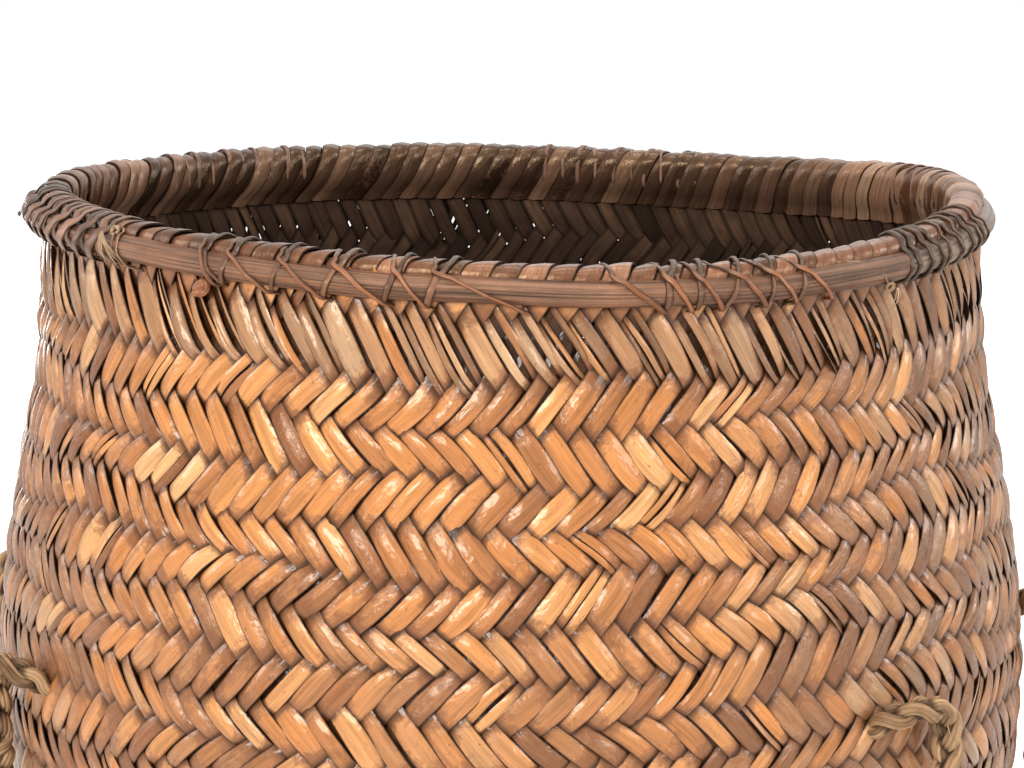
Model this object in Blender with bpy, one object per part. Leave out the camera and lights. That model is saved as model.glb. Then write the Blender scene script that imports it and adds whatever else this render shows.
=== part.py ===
"""An open carrying basket, plaited on the bias, with a bound double rim and two rope handles.

Units are metres and +Z is up. The origin is the middle of the base, on the floor. The front is -Y,
and an azimuth is counted from the front towards +X.
"""

import math

import bmesh
import bpy
from mathutils import Matrix, Vector

# The whole basket
HEIGHT = 0.380
WALL = 0.003
CLEARANCE = 0.0003
OVERRUN = 0.002
SEGMENTS = 64
SHARP_ANGLE = math.radians(40)

# Outline of the wall. A drop is counted down from the top, a height up from the floor.
RIM_RADIUS = 0.1875
RIM_BAND = 0.018
NECK_RADIUS = 0.1897
NECK_DROP = 0.052
NECK_SLOPE = -0.09
SHOULDER_RADIUS = 0.2022
SHOULDER_DROP = 0.118
SHOULDER_SLOPE = -0.19
BELLY_RADIUS = 0.210
BELLY_DROP = 0.198
LOW_HALF = 0.182
LOW_HEIGHT = 0.066
ROUND_HEIGHT = 0.165
BASE_HALF = 0.158
BASE_CORNER = 0.068
FOOT_RADIUS = 0.028
FOOT_TURN = math.radians(62)
FOOT_STEPS = 4
WALL_STEPS = 10
WALL_STEP_POWER = 1.2

# The strips' ends, folded inwards over the inner hoop
FOLD_SKIN = 0.0013
FOLD_DROP = 0.0135
FOLD_EDGE = 0.0008

# The hoops, of half-round split cane, and the scarfs where their ends lap
CANE_THICKNESS = 0.0062
CANE_HEIGHT = 0.0092
CANE_DROP = 0.0038
INNER_CANE_THICKNESS = 0.0055
INNER_CANE_HEIGHT = 0.0094
CANE_STEPS = 6
FRONT_CANE_START = -15
FRONT_CANE_END = 8
SCARF_STATIONS = 4
SCARF_THICK_SHARE = 0.85
SCARF_THIN_SHARE = 0.35

# The vines and straws that bind the rim
LASH_GAP = 0.0007
FRONT_ANGLES = tuple(math.radians(level) for level in (60, 30, 0, -30, -60))
LASH_START_SHARE = 0.5
LASH_CORNER_SHARE = 0.75
LASH_EASE_SHARE = 0.2
# How far along the rim each point of a turn lies, as a share of the pitch
TURN_SHARES = (
    0.0, 0.05, 0.06, 0.07, 0.12, 0.20, 0.34, 0.47, 0.60, 0.74, 0.82, 0.82, 0.86, 0.90, 0.92
)
PASSAGE_POINT = 10
VINE_WIDTH = 0.0028
VINE_THICKNESS = 0.0016
WRAP_WIDTH = 0.0056
WRAP_THICKNESS = 0.0014
STRAW_DIAMETER = 0.0022
STRAW_TAIL = 0.016
TAIL_SHARES = (0.4, 0.7, 1.0)
KNOB_RADIUS = 0.0030
KNOB_AZIMUTH = math.radians(-36.5)
KNOB_SEGMENTS = 12
KNOB_RINGS = 8

# The windings' names, their first and last azimuths in degrees, and their turns
VINE_NAMES = (
    "front_left_lashing",
    "front_right_lashing",
    "right_end_lashing",
    "right_splice_lashing",
    "rear_right_lashing",
    "rear_lashing",
    "rear_left_lashing",
)
VINE_ANGLES = ((-34, -6.5), (11.5, 32), (44.4, 47.4), (50, 69), (96, 114), (150, 176), (212, 238))
VINE_TURN_COUNTS = (5, 6, 2, 7, 6, 5, 5)
WRAP_ANGLES = (-83, -49.5)
WRAP_TURN_COUNT = 9
STRAW_NAMES = ("left_straw_tie", "right_straw_tie")
STRAW_ANGLES = ((-47.2, -44.6), (40, 42.6))
STRAW_TURN_COUNT = 2

# The rope handles
ROPE_RADIUS = 0.00625
ROPE_RESOLUTION = 2
HOLE_DROP = 0.170
HOLE_CLEARANCE = 0.0006
HOLE_OVERRUN = 0.004
HOLE_SEGMENTS = 16
HOLE_SPREAD = math.radians(24.5)
HINGE_SPREAD = math.radians(17)
HANDLE_STANDOFF = 0.010
HANDLE_DROP = 0.120
HANDLE_STRAIGHT = 0.013
HANDLE_STEPS = 30
HANDLE_POWER = 0.75
DOME_ANGLES = tuple(math.radians(level) for level in (84, 55, 28))
BEND_REACH = 0.013
BEND_RISE = 0.007
BEND_STEPS = 8
KNOT_RADIUS = 0.0125
KNOT_LENGTH = 0.026
KNOT_SEAT = 0.0014
KNOT_SHARES = (0.08, 0.68, 0.90, 0.98, 1.00, 0.98, 0.90, 0.76)
HANDLES = (
    ("right", math.radians(63.5), ("front", "rear")),
    ("left", math.radians(-81.5), ("rear", "front")),
)

# The rim's rise and fall: its mean, then a cosine's and a sine's share for each wave round the rim
RISE_MEAN = 0.0028
RISE_WAVES = ((0.0001, -0.0021), (-0.0033, -0.0008), (-0.0005, -0.0013), (0.0006, 0.0001))
RISE_START_DROP = 0.140
RISE_FULL_DROP = 0.035

# Sizes that follow from those above
RIM_CENTRE = RIM_RADIUS - WALL / 2
OUTER_BACK = RIM_RADIUS + CLEARANCE
OUTER_MIDDLE = HEIGHT - CANE_DROP - CANE_HEIGHT / 2
INNER_BACK = RIM_RADIUS - WALL - CLEARANCE
INNER_MIDDLE = HEIGHT - FOLD_SKIN - CLEARANCE - INNER_CANE_HEIGHT / 2
FOLD_OUTER = INNER_BACK - INNER_CANE_THICKNESS - CLEARANCE
FOLD_INNER = FOLD_OUTER - FOLD_SKIN
FOLD_END = HEIGHT - FOLD_DROP
HOLE_HEIGHT = HEIGHT - HOLE_DROP
FOOT_HEIGHT = FOOT_RADIUS * (1 - math.cos(FOOT_TURN))
PASSAGE_SHARE = TURN_SHARES[PASSAGE_POINT]


def place(azimuth, radius, height):
    """The point at an azimuth, a distance from the basket's axis and a height."""
    return Vector((radius * math.sin(azimuth), -radius * math.cos(azimuth), height))


def station(number):
    """The azimuth of one of the stations that the wall and the hoops share."""
    return math.tau * (number + 0.5) / SEGMENTS


def smooth_step(share):
    share = min(max(share, 0.0), 1.0)
    return share * share * (3 - 2 * share)


def make_material(name, colour, roughness):
    material = bpy.data.materials.new(name)
    material.use_nodes = True
    shader = material.node_tree.nodes["Principled BSDF"]
    shader.inputs["Base Color"].default_value = (*colour, 1)
    shader.inputs["Roughness"].default_value = roughness
    shader.inputs["Metallic"].default_value = 0
    material.diffuse_color = (*colour, 1)
    return material


def add_object(name, data, collection, material=None):
    item = bpy.data.objects.new(name, data)
    collection.objects.link(item)
    if material is not None:
        data.materials.append(material)
    return item


def loft_mesh(name, rings, closed=False):
    """A closed body through rings of points: capped at both ends, or joined round to the first ring."""
    form = bmesh.new()
    loops = [[form.verts.new(point) for point in ring] for ring in rings]
    pairs = list(zip(loops, loops[1:]))
    if closed:
        pairs.append((loops[-1], loops[0]))
    else:
        form.faces.new(loops[0])
        form.faces.new(loops[-1])
    for low, high in pairs:
        for index in range(len(low)):
            after = (index + 1) % len(low)
            form.faces.new((low[index], low[after], high[after], high[index]))
    bmesh.ops.recalc_face_normals(form, faces=form.faces)
    mesh = bpy.data.meshes.new(name)
    form.to_mesh(mesh)
    form.free()
    mesh.shade_smooth()
    mesh.set_sharp_from_angle(angle=SHARP_ANGLE)
    return mesh


def tube(name, points, radius, collection, material, shares=None):
    """A rope or straw: a poly curve with filled caps, and a share of the radius at each point."""
    curve = bpy.data.curves.new(name, "CURVE")
    curve.dimensions = "3D"
    curve.bevel_depth = radius
    curve.bevel_resolution = ROPE_RESOLUTION
    curve.use_fill_caps = True
    spline = curve.splines.new("POLY")
    spline.points.add(len(points) - 1)
    for index, point in enumerate(points):
        spline.points[index].co = (*point, 1)
        if shares is not None:
            spline.points[index].radius = shares[index]
    return add_object(name, curve, collection, material)


# The plaited body


def wall_outline(height):
    """Half the wall's width at a height: a smooth curve through (height, half width, slope)."""
    foot_slope = 1 / math.tan(FOOT_TURN)
    low_slope = (BELLY_RADIUS - BASE_HALF) / (HEIGHT - BELLY_DROP - FOOT_HEIGHT)
    stations = (
        (FOOT_HEIGHT, BASE_HALF, foot_slope),
        (LOW_HEIGHT, LOW_HALF, low_slope),
        (HEIGHT - BELLY_DROP, BELLY_RADIUS, 0.0),
        (HEIGHT - SHOULDER_DROP, SHOULDER_RADIUS, SHOULDER_SLOPE),
        (HEIGHT - NECK_DROP, NECK_RADIUS, NECK_SLOPE),
        (HEIGHT - RIM_BAND, RIM_RADIUS, 0.0),
    )
    if height >= stations[-1][0]:
        return RIM_RADIUS
    index = 0
    while height > stations[index + 1][0]:
        index += 1
    low, low_half, low_slope = stations[index]
    high, high_half, high_slope = stations[index + 1]
    span = high - low
    share = (height - low) / span
    return (
        low_half * (1 + 2 * share) * (1 - share) ** 2
        + span * low_slope * share * (1 - share) ** 2
        + high_half * share**2 * (3 - 2 * share)
        + span * high_slope * share**2 * (share - 1)
    )


def wall_corner(height):
    """The corner radius of the plan, from the square base's to the full circle."""
    half = wall_outline(height)
    share = smooth_step((height - FOOT_HEIGHT) / (ROUND_HEIGHT - FOOT_HEIGHT))
    return BASE_CORNER + (half - BASE_CORNER) * share


def plan_point(azimuth, half, corner, height):
    """A point on a square with rounded corners, which is a circle where the corner fills it."""
    across = abs(math.sin(azimuth))
    along = abs(math.cos(azimuth))
    straight = half - corner
    if min(across, along) / max(across, along) * half <= straight:
        reach = half / max(across, along)
    else:
        lean = straight * (across + along)
        reach = lean + math.sqrt(max(lean**2 - 2 * straight**2 + corner**2, 0.0))
    return place(azimuth, reach, height)


def plan_ring(half, corner, height):
    return [plan_point(station(number), half, corner, height) for number in range(SEGMENTS)]


def foot_rings(inset):
    """The turn from the floor into the wall, as an arc with its centre inside the basket."""
    flat_half = BASE_HALF - FOOT_RADIUS * math.sin(FOOT_TURN)
    radius = FOOT_RADIUS - inset
    rings = []
    for step in range(FOOT_STEPS + 1):
        turn = FOOT_TURN * step / FOOT_STEPS
        half = flat_half + radius * math.sin(turn)
        corner = BASE_CORNER - (BASE_HALF - half)
        rings.append(plan_ring(half, corner, FOOT_RADIUS - radius * math.cos(turn)))
    return rings


def wall_rings(inset):
    """Rings up the wall, closer near the foot, with one at the belly and one at the rope holes."""
    rings = []
    rise = HEIGHT - RIM_BAND - FOOT_HEIGHT
    levels = []
    for step in range(1, WALL_STEPS + 1):
        levels.append(FOOT_HEIGHT + rise * (step / WALL_STEPS) ** WALL_STEP_POWER)
    for wanted in (HOLE_HEIGHT, HEIGHT - BELLY_DROP):
        nearest = min(range(WALL_STEPS - 1), key=lambda index: abs(levels[index] - wanted))
        levels[nearest] = wanted
    for height in levels:
        rings.append(plan_ring(wall_outline(height) - inset, wall_corner(height) - inset, height))
    return rings


def round_ring(radius, height):
    return plan_ring(radius, radius, height)


def body_mesh():
    """Floor, wall, the strips' ends folded inwards at the top, and the inside again."""
    lip = [
        round_ring(RIM_RADIUS, HEIGHT - FOLD_EDGE),
        round_ring(RIM_RADIUS - FOLD_EDGE, HEIGHT),
        round_ring(FOLD_INNER + FOLD_EDGE, HEIGHT),
        round_ring(FOLD_INNER, HEIGHT - FOLD_EDGE),
        round_ring(FOLD_INNER, FOLD_END),
        round_ring(FOLD_OUTER, FOLD_END),
        round_ring(FOLD_OUTER, HEIGHT - FOLD_SKIN),
        round_ring(RIM_RADIUS - WALL, HEIGHT - FOLD_SKIN),
    ]
    outside = foot_rings(0.0) + wall_rings(0.0)
    inside = foot_rings(WALL) + wall_rings(WALL)
    return loft_mesh("woven_body", outside + lip + inside[::-1])


# The hoops


def cane_ring(azimuth, back, thickness, middle, height, side):
    """A half-round section, flat against the wall. Side is 1 outwards and -1 inwards."""
    ring = []
    for step in range(CANE_STEPS + 1):
        turn = math.pi * (step / CANE_STEPS - 0.5)
        radius = back + side * thickness * math.cos(turn)
        ring.append(place(azimuth, radius, middle + height / 2 * math.sin(turn)))
    return ring


def outer_slice(azimuth, share):
    """The outer part of the full half-round section, which keeps a share of its thickness."""
    widest = math.acos(1 - share)
    ring = []
    for step in range(CANE_STEPS + 1):
        turn = widest * (2 * step / CANE_STEPS - 1)
        radius = OUTER_BACK + CANE_THICKNESS * math.cos(turn)
        ring.append(place(azimuth, radius, OUTER_MIDDLE + CANE_HEIGHT / 2 * math.sin(turn)))
    return ring


def scarf_share(number, first, last):
    """The share of the thickness that the upper end of a scarf keeps at a station."""
    share = (number - first) / (last - first)
    return SCARF_THICK_SHARE + (SCARF_THIN_SHARE - SCARF_THICK_SHARE) * share


def front_cane_mesh():
    """The front length of the outer hoop. Both its ends lie outside the rear length."""
    rings = []
    for number in range(FRONT_CANE_START, FRONT_CANE_END + 1):
        share = 1.0
        if number <= FRONT_CANE_START + SCARF_STATIONS:
            share = scarf_share(number, FRONT_CANE_START + SCARF_STATIONS, FRONT_CANE_START)
        if number >= FRONT_CANE_END - SCARF_STATIONS:
            share = scarf_share(number, FRONT_CANE_END - SCARF_STATIONS, FRONT_CANE_END)
        rings.append(outer_slice(station(number), share))
    return loft_mesh("outer_hoop_front", rings)


def rear_cane_mesh():
    """The rear length of the outer hoop, whose thinned ends lie under the front length's."""
    first = FRONT_CANE_END - SCARF_STATIONS
    last = FRONT_CANE_START + SCARF_STATIONS + SEGMENTS
    rings = []
    for number in range(first, last + 1):
        thickness = CANE_THICKNESS
        if number <= FRONT_CANE_END:
            share = scarf_share(number, first, FRONT_CANE_END)
            thickness = CANE_THICKNESS * (1 - share) - CLEARANCE
        if number >= last - SCARF_STATIONS:
            share = scarf_share(number, last, last - SCARF_STATIONS)
            thickness = CANE_THICKNESS * (1 - share) - CLEARANCE
        rings.append(
            cane_ring(station(number), OUTER_BACK, thickness, OUTER_MIDDLE, CANE_HEIGHT, 1)
        )
    return loft_mesh("outer_hoop_rear", rings)


def inner_cane_mesh():
    """The inner hoop: one length, whose ends lap under the wraps on the left."""
    first = FRONT_CANE_START
    last = first + SEGMENTS + SCARF_STATIONS
    rings = []
    for number in range(first, last + 1):
        back = INNER_BACK
        thickness = INNER_CANE_THICKNESS
        if number <= first + SCARF_STATIONS:
            share = scarf_share(number, first, first + SCARF_STATIONS)
            back -= INNER_CANE_THICKNESS * share + CLEARANCE
            thickness = INNER_CANE_THICKNESS * (1 - share) - CLEARANCE
        if number >= last - SCARF_STATIONS:
            thickness = INNER_CANE_THICKNESS * scarf_share(number, last - SCARF_STATIONS, last)
        rings.append(
            cane_ring(station(number), back, thickness, INNER_MIDDLE, INNER_CANE_HEIGHT, -1)
        )
    return loft_mesh("inner_hoop", rings)


# The lashings


def lashing_turn(thickness):
    """One turn round the rim, as (radius, height, share of the pitch).

    It starts inside, goes over the top, down the front on a slant and in through the wall.
    """
    offset = thickness / 2 + LASH_GAP
    through = FOLD_END - offset
    corner = offset * LASH_CORNER_SHARE
    ease = offset * LASH_EASE_SHARE
    swell = 1 / math.cos(FRONT_ANGLES[1] / 2)
    turn = [
        (FOLD_INNER - offset, HEIGHT - FOLD_DROP * LASH_START_SHARE),
        (FOLD_INNER - offset, HEIGHT - FOLD_EDGE),
        (FOLD_INNER - corner, HEIGHT + corner),
        (FOLD_INNER + FOLD_EDGE, HEIGHT + offset),
        (RIM_RADIUS, HEIGHT + offset),
    ]
    for level in FRONT_ANGLES:
        radius = OUTER_BACK + (CANE_THICKNESS + offset) * swell * math.cos(level)
        turn.append((radius, OUTER_MIDDLE + (CANE_HEIGHT / 2 + offset) * swell * math.sin(level)))
    turn += [
        (RIM_RADIUS + offset, through),
        (RIM_RADIUS - WALL - offset, through),
        (FOLD_INNER + ease, through),
        (FOLD_INNER - corner, FOLD_END - corner),
        (FOLD_INNER - offset, FOLD_END + ease),
    ]
    return [(radius, height, share) for (radius, height), share in zip(turn, TURN_SHARES)]


def winding_route(first, last, turns, thickness):
    """The middle line of a winding, from its tucked-in start to its tucked-in end."""
    pitch = (last - first) / turns
    shape = lashing_turn(thickness)
    route = []
    for number in range(turns):
        for radius, height, share in shape:
            route.append(place(first + pitch * (number + share), radius, height))
    radius, height, share = shape[0]
    route.append(place(last, radius, height))
    return route


def report_gap(name, route, turns, thickness):
    """Prints the least gap between neighbouring turns, measured on the points."""
    step = (len(route) - 1) // turns
    least = math.inf
    for index in range(len(route) - step):
        for other in range(index + step // 2 + 1, min(index + 2 * step, len(route))):
            least = min(least, (route[index] - route[other]).length)
    print(f"{name}: least gap to itself {(least - thickness) * 1000:.2f} mm")


def flat_vine_mesh(name, route, width, thickness):
    """A flat strip swept along a route round the rim, its flat side towards the rim."""
    rings = []
    for index, point in enumerate(route):
        ahead = route[min(index + 1, len(route) - 1)] - route[max(index - 1, 0)]
        ahead.normalize()
        azimuth = math.atan2(point.x, -point.y)
        outwards = point - place(azimuth, RIM_CENTRE, OUTER_MIDDLE)
        across = ahead.cross(outwards).normalized() * (width / 2)
        upwards = across.cross(ahead).normalized() * (thickness / 2)
        rings.append(
            [
                point - across - upwards,
                point + across - upwards,
                point + across + upwards,
                point - across + upwards,
            ]
        )
    return loft_mesh(name, rings)


def passage(azimuth, radius, height, reach, across, upright):
    """A box-shaped cutter through the wall, pointing at the basket's axis."""
    form = bmesh.new()
    bmesh.ops.create_cube(form, size=1)
    turn = Matrix.Rotation(azimuth, 4, "Z")
    size = Matrix.Diagonal((across, reach, upright, 1))
    move = Matrix.Translation(place(azimuth, radius, height))
    bmesh.ops.transform(form, matrix=move @ turn @ size, verts=form.verts)
    return form


def add_winding(name, angles, turns, width, thickness, collection, material, cuts):
    """A flat lashing and the slots in the wall that it passes through."""
    first, last = (math.radians(angle) for angle in angles)
    route = winding_route(first, last, turns, thickness)
    report_gap(name, route, turns, width)
    add_object(name, flat_vine_mesh(name, route, width, thickness), collection, material)
    add_passages(first, last, turns, width, thickness, cuts)


def add_passages(first, last, turns, width, thickness, cuts):
    height = FOLD_END - thickness / 2 - LASH_GAP
    pitch = (last - first) / turns
    for number in range(turns):
        azimuth = first + pitch * (number + PASSAGE_SHARE)
        reach = WALL + 2 * OVERRUN
        opening = 2 * CLEARANCE
        cuts.append(passage(azimuth, RIM_CENTRE, height, reach, width + opening, thickness + opening))


def add_straw(name, angles, turns, collection, material, cuts):
    """A straw tied round the rim, with a tail that hangs straight down and rests on the wall."""
    first, last = (math.radians(angle) for angle in angles)
    route = winding_route(first, last, turns, STRAW_DIAMETER)
    report_gap(name, route, turns, STRAW_DIAMETER)
    pitch = (last - first) / turns
    offset = STRAW_DIAMETER / 2 + LASH_GAP
    for radius, height, share in lashing_turn(STRAW_DIAMETER)[1:PASSAGE_POINT]:
        route.append(place(last + pitch * share, radius, height))
    top = FOLD_END - offset
    hang = max(wall_outline(top - STRAW_TAIL), wall_outline(top)) + offset
    for share in TAIL_SHARES:
        route.append(place(last + pitch * (1 + share), hang, top - STRAW_TAIL * share))
    tube(name, route, STRAW_DIAMETER / 2, collection, material)
    add_passages(first, last, turns, STRAW_DIAMETER, STRAW_DIAMETER, cuts)


# The rope handles


def handle_frame(middle):
    """The matrix at the middle of a handle's hinge line: X along it, Y outwards, Z up."""
    radius = wall_outline(HOLE_HEIGHT) + HANDLE_STANDOFF
    outwards = place(middle, 1, 0)
    along = outwards.cross(Vector((0, 0, 1)))
    turn = Matrix((along, outwards, (0, 0, 1))).transposed().to_4x4()
    return Matrix.Translation(place(middle, radius * math.cos(HINGE_SPREAD), HOLE_HEIGHT)) @ turn


def handle_route():
    """The hanging loop, which lies on an upright cylinder round the belly."""
    radius = wall_outline(HOLE_HEIGHT) + HANDLE_STANDOFF
    half = radius * math.sin(HINGE_SPREAD)
    back = radius * math.cos(HINGE_SPREAD)
    points = []
    for step in range(HANDLE_STEPS + 1):
        turn = math.pi * step / HANDLE_STEPS
        along = half * math.cos(turn)
        drop = (HANDLE_DROP - HANDLE_STRAIGHT) * math.sin(turn) ** HANDLE_POWER
        outwards = math.sqrt(radius**2 - along**2) - back
        points.append(Vector((along, outwards, -HANDLE_STRAIGHT - drop)))
    return points


def add_handle(name, middle, collection, material):
    """A loop that swings on the line through its two rope ends, with a domed top to each leg."""
    dome = [(math.cos(level), math.sin(level)) for level in DOME_ANGLES]
    points = handle_route()
    half = points[0].x
    legs = []
    shares = []
    for share, rise in dome + [(1.0, 0.0)]:
        legs.append(Vector((half, 0, ROPE_RADIUS * rise)))
        shares.append(share)
    mirrored = [Vector((-point.x, point.y, point.z)) for point in legs[::-1]]
    route = legs + points + mirrored
    shares = shares + [1.0] * len(points) + shares[::-1]
    item = tube(name, route, ROPE_RADIUS, collection, material, shares)
    item.matrix_world = handle_frame(middle)
    return item


def rope_end_route(side):
    """From the knot inside the wall, out of its hole and round to the hinge line. Side is 1 or -1."""
    wall = wall_outline(HOLE_HEIGHT)
    radius = wall + HANDLE_STANDOFF
    back = radius * math.cos(HINGE_SPREAD)
    aim = Vector((side * math.sin(HOLE_SPREAD), math.cos(HOLE_SPREAD), 0))
    axis = Vector((0, -back, 0))
    inner = wall - WALL - KNOT_SEAT
    points = []
    shares = []
    for step, share in enumerate(KNOT_SHARES):
        points.append(axis + aim * (inner - KNOT_LENGTH * (1 - step / len(KNOT_SHARES))))
        shares.append(share * KNOT_RADIUS / ROPE_RADIUS)
    points.append(axis + aim * inner)
    shares.append(1.0)
    start = axis + aim * (wall + CLEARANCE)
    end = Vector((side * (radius * math.sin(HINGE_SPREAD) + ROPE_RADIUS + CLEARANCE), 0, 0))
    leave = start + aim * BEND_REACH + Vector((0, 0, BEND_RISE))
    arrive = end + Vector((side * BEND_REACH, 0, 0))
    for step in range(BEND_STEPS + 1):
        share = step / BEND_STEPS
        rest = 1 - share
        points.append(
            start * rest**3
            + leave * 3 * rest**2 * share
            + arrive * 3 * rest * share**2
            + end * share**3
        )
        shares.append(1.0)
    return points, shares


def add_rope_end(name, middle, side, collection, material):
    points, shares = rope_end_route(side)
    item = tube(name, points, ROPE_RADIUS, collection, material, shares)
    item.matrix_world = handle_frame(middle)
    return item


def rope_hole(azimuth):
    """A round cutter for a rope's hole, pointing at the basket's axis."""
    form = bmesh.new()
    radius = ROPE_RADIUS + HOLE_CLEARANCE
    bmesh.ops.create_cone(
        form,
        cap_ends=True,
        segments=HOLE_SEGMENTS,
        radius1=radius,
        radius2=radius,
        depth=WALL + 2 * HOLE_OVERRUN,
    )
    lay = Matrix.Rotation(azimuth, 4, "Z") @ Matrix.Rotation(math.pi / 2, 4, "X")
    move = Matrix.Translation(place(azimuth, wall_outline(HOLE_HEIGHT) - WALL / 2, HOLE_HEIGHT))
    bmesh.ops.transform(form, matrix=move @ lay, verts=form.verts)
    return form


def cutter_mesh(cuts):
    """All the cuts through the wall as one mesh of separate closed pieces."""
    whole = bmesh.new()
    for cut in cuts:
        piece = bpy.data.meshes.new("cut")
        cut.to_mesh(piece)
        cut.free()
        whole.from_mesh(piece)
        bpy.data.meshes.remove(piece)
    mesh = bpy.data.meshes.new("wall_cuts")
    whole.to_mesh(mesh)
    whole.free()
    return mesh


def knob_mesh():
    """The round knot of vine that sits under the outer hoop."""
    form = bmesh.new()
    bmesh.ops.create_uvsphere(
        form, u_segments=KNOB_SEGMENTS, v_segments=KNOB_RINGS, radius=KNOB_RADIUS
    )
    seat = RIM_RADIUS + CLEARANCE + KNOB_RADIUS
    low = OUTER_MIDDLE - CANE_HEIGHT / 2 - CLEARANCE - KNOB_RADIUS
    bmesh.ops.translate(form, vec=place(KNOB_AZIMUTH, seat, low), verts=form.verts)
    mesh = bpy.data.meshes.new("vine_knob")
    form.to_mesh(mesh)
    form.free()
    mesh.shade_smooth()
    return mesh


def rim_rise(azimuth):
    """How far the rim stands above its plain height at an azimuth."""
    rise = RISE_MEAN
    for turns, (even, odd) in enumerate(RISE_WAVES, 1):
        rise += even * math.cos(turns * azimuth) + odd * math.sin(turns * azimuth)
    return rise


def raise_rim(item):
    """Lifts a piece's upper points with the rim, which isn't quite level. Lower points stay."""
    points = item.data.vertices if item.type == "MESH" else item.data.splines[0].points
    for point in points:
        at = item.matrix_world @ point.co.xyz
        share = (at.z - HEIGHT + RISE_START_DROP) / (RISE_START_DROP - RISE_FULL_DROP)
        if share > 0:
            at.z += rim_rise(math.atan2(at.x, -at.y)) * smooth_step(share)
            point.co.xyz = item.matrix_world.inverted() @ at


def build():
    for item in list(bpy.data.objects):
        bpy.data.objects.remove(item, do_unlink=True)
    basket = bpy.data.collections.new("basket")
    cutters = bpy.data.collections.new("cutters")
    bpy.context.scene.collection.children.link(basket)
    bpy.context.scene.collection.children.link(cutters)

    strip = make_material("plaited_strip", (0.55, 0.27, 0.12), 0.38)
    cane = make_material("split_cane", (0.33, 0.23, 0.18), 0.55)
    vine = make_material("vine_lashing", (0.17, 0.09, 0.06), 0.50)
    straw = make_material("straw", (0.60, 0.45, 0.24), 0.70)
    rope = make_material("straw_rope", (0.55, 0.42, 0.25), 0.85)

    cuts = []
    for name, angles, turns in zip(VINE_NAMES, VINE_ANGLES, VINE_TURN_COUNTS):
        add_winding(name, angles, turns, VINE_WIDTH, VINE_THICKNESS, basket, vine, cuts)
    add_winding(
        "left_splice_wrap",
        WRAP_ANGLES,
        WRAP_TURN_COUNT,
        WRAP_WIDTH,
        WRAP_THICKNESS,
        basket,
        vine,
        cuts,
    )
    for name, angles in zip(STRAW_NAMES, STRAW_ANGLES):
        add_straw(name, angles, STRAW_TURN_COUNT, basket, straw, cuts)

    for side, middle, ends in HANDLES:
        add_handle(f"{side}_rope_handle", middle, basket, rope)
        for direction, end in zip((1, -1), ends):
            add_rope_end(f"{side}_{end}_rope_end", middle, direction, basket, rope)
            cuts.append(rope_hole(middle - direction * HOLE_SPREAD))

    cutter = add_object("wall_cuts", cutter_mesh(cuts), cutters)
    cutter.hide_render = True
    cutter.display_type = "WIRE"
    body = add_object("woven_body", body_mesh(), basket, strip)
    holes = body.modifiers.new("passages", "BOOLEAN")
    holes.operation = "DIFFERENCE"
    holes.object = cutter

    add_object("outer_hoop_front", front_cane_mesh(), basket, cane)
    add_object("outer_hoop_rear", rear_cane_mesh(), basket, cane)
    add_object("inner_hoop", inner_cane_mesh(), basket, cane)
    add_object("vine_knob", knob_mesh(), basket, vine)
    for item in bpy.data.objects:
        raise_rim(item)


build()
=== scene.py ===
"""The looks of the plaited basket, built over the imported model.

Units are metres and +Z is up, as in the CAD. An azimuth is counted from the front, -Y, towards +X.
"""

import math

import bpy
import numpy as np
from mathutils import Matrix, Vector


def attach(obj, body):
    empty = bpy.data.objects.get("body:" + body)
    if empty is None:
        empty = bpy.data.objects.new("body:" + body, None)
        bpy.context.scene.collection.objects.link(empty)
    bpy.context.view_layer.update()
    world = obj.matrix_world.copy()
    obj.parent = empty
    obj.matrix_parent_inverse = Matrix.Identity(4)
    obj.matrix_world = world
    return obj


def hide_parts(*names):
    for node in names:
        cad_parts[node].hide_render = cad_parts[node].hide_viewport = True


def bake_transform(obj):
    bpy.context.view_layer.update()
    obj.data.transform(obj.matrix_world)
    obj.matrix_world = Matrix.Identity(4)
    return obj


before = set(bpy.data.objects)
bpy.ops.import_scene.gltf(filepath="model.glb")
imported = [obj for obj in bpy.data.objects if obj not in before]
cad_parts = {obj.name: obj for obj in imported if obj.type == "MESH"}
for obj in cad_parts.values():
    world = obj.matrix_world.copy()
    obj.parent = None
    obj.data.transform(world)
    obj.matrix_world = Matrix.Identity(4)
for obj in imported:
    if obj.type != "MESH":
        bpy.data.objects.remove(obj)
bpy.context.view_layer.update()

# The part's own sizes, as its source has them
HEIGHT = 0.380
WALL = 0.003
RIM_RADIUS = 0.1875
RIM_BAND = 0.018
NECK_RADIUS = 0.1897
NECK_DROP = 0.052
NECK_SLOPE = -0.09
SHOULDER_RADIUS = 0.2022
SHOULDER_DROP = 0.118
SHOULDER_SLOPE = -0.19
BELLY_RADIUS = 0.210
BELLY_DROP = 0.198
LOW_HALF = 0.182
LOW_HEIGHT = 0.066
ROUND_HEIGHT = 0.165
BASE_HALF = 0.158
BASE_CORNER = 0.068
FOOT_RADIUS = 0.028
FOOT_TURN = math.radians(62)
FOOT_HEIGHT = FOOT_RADIUS * (1 - math.cos(FOOT_TURN))
CANE_THICKNESS = 0.0062
CANE_HEIGHT = 0.0092
CANE_DROP = 0.0038
INNER_CANE_THICKNESS = 0.0055
INNER_CANE_HEIGHT = 0.0094
ROPE_RADIUS = 0.00625
HOLE_DROP = 0.170
HOLE_SPREAD = math.radians(24.5)
HINGE_SPREAD = math.radians(17)
HANDLE_STANDOFF = 0.010
HANDLE_DROP = 0.120
HANDLE_STRAIGHT = 0.013
HANDLE_STEPS = 30
HANDLE_POWER = 0.75
BEND_REACH = 0.013
BEND_RISE = 0.007
BEND_STEPS = 8
KNOT_RADIUS = 0.0125
KNOT_LENGTH = 0.026

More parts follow.
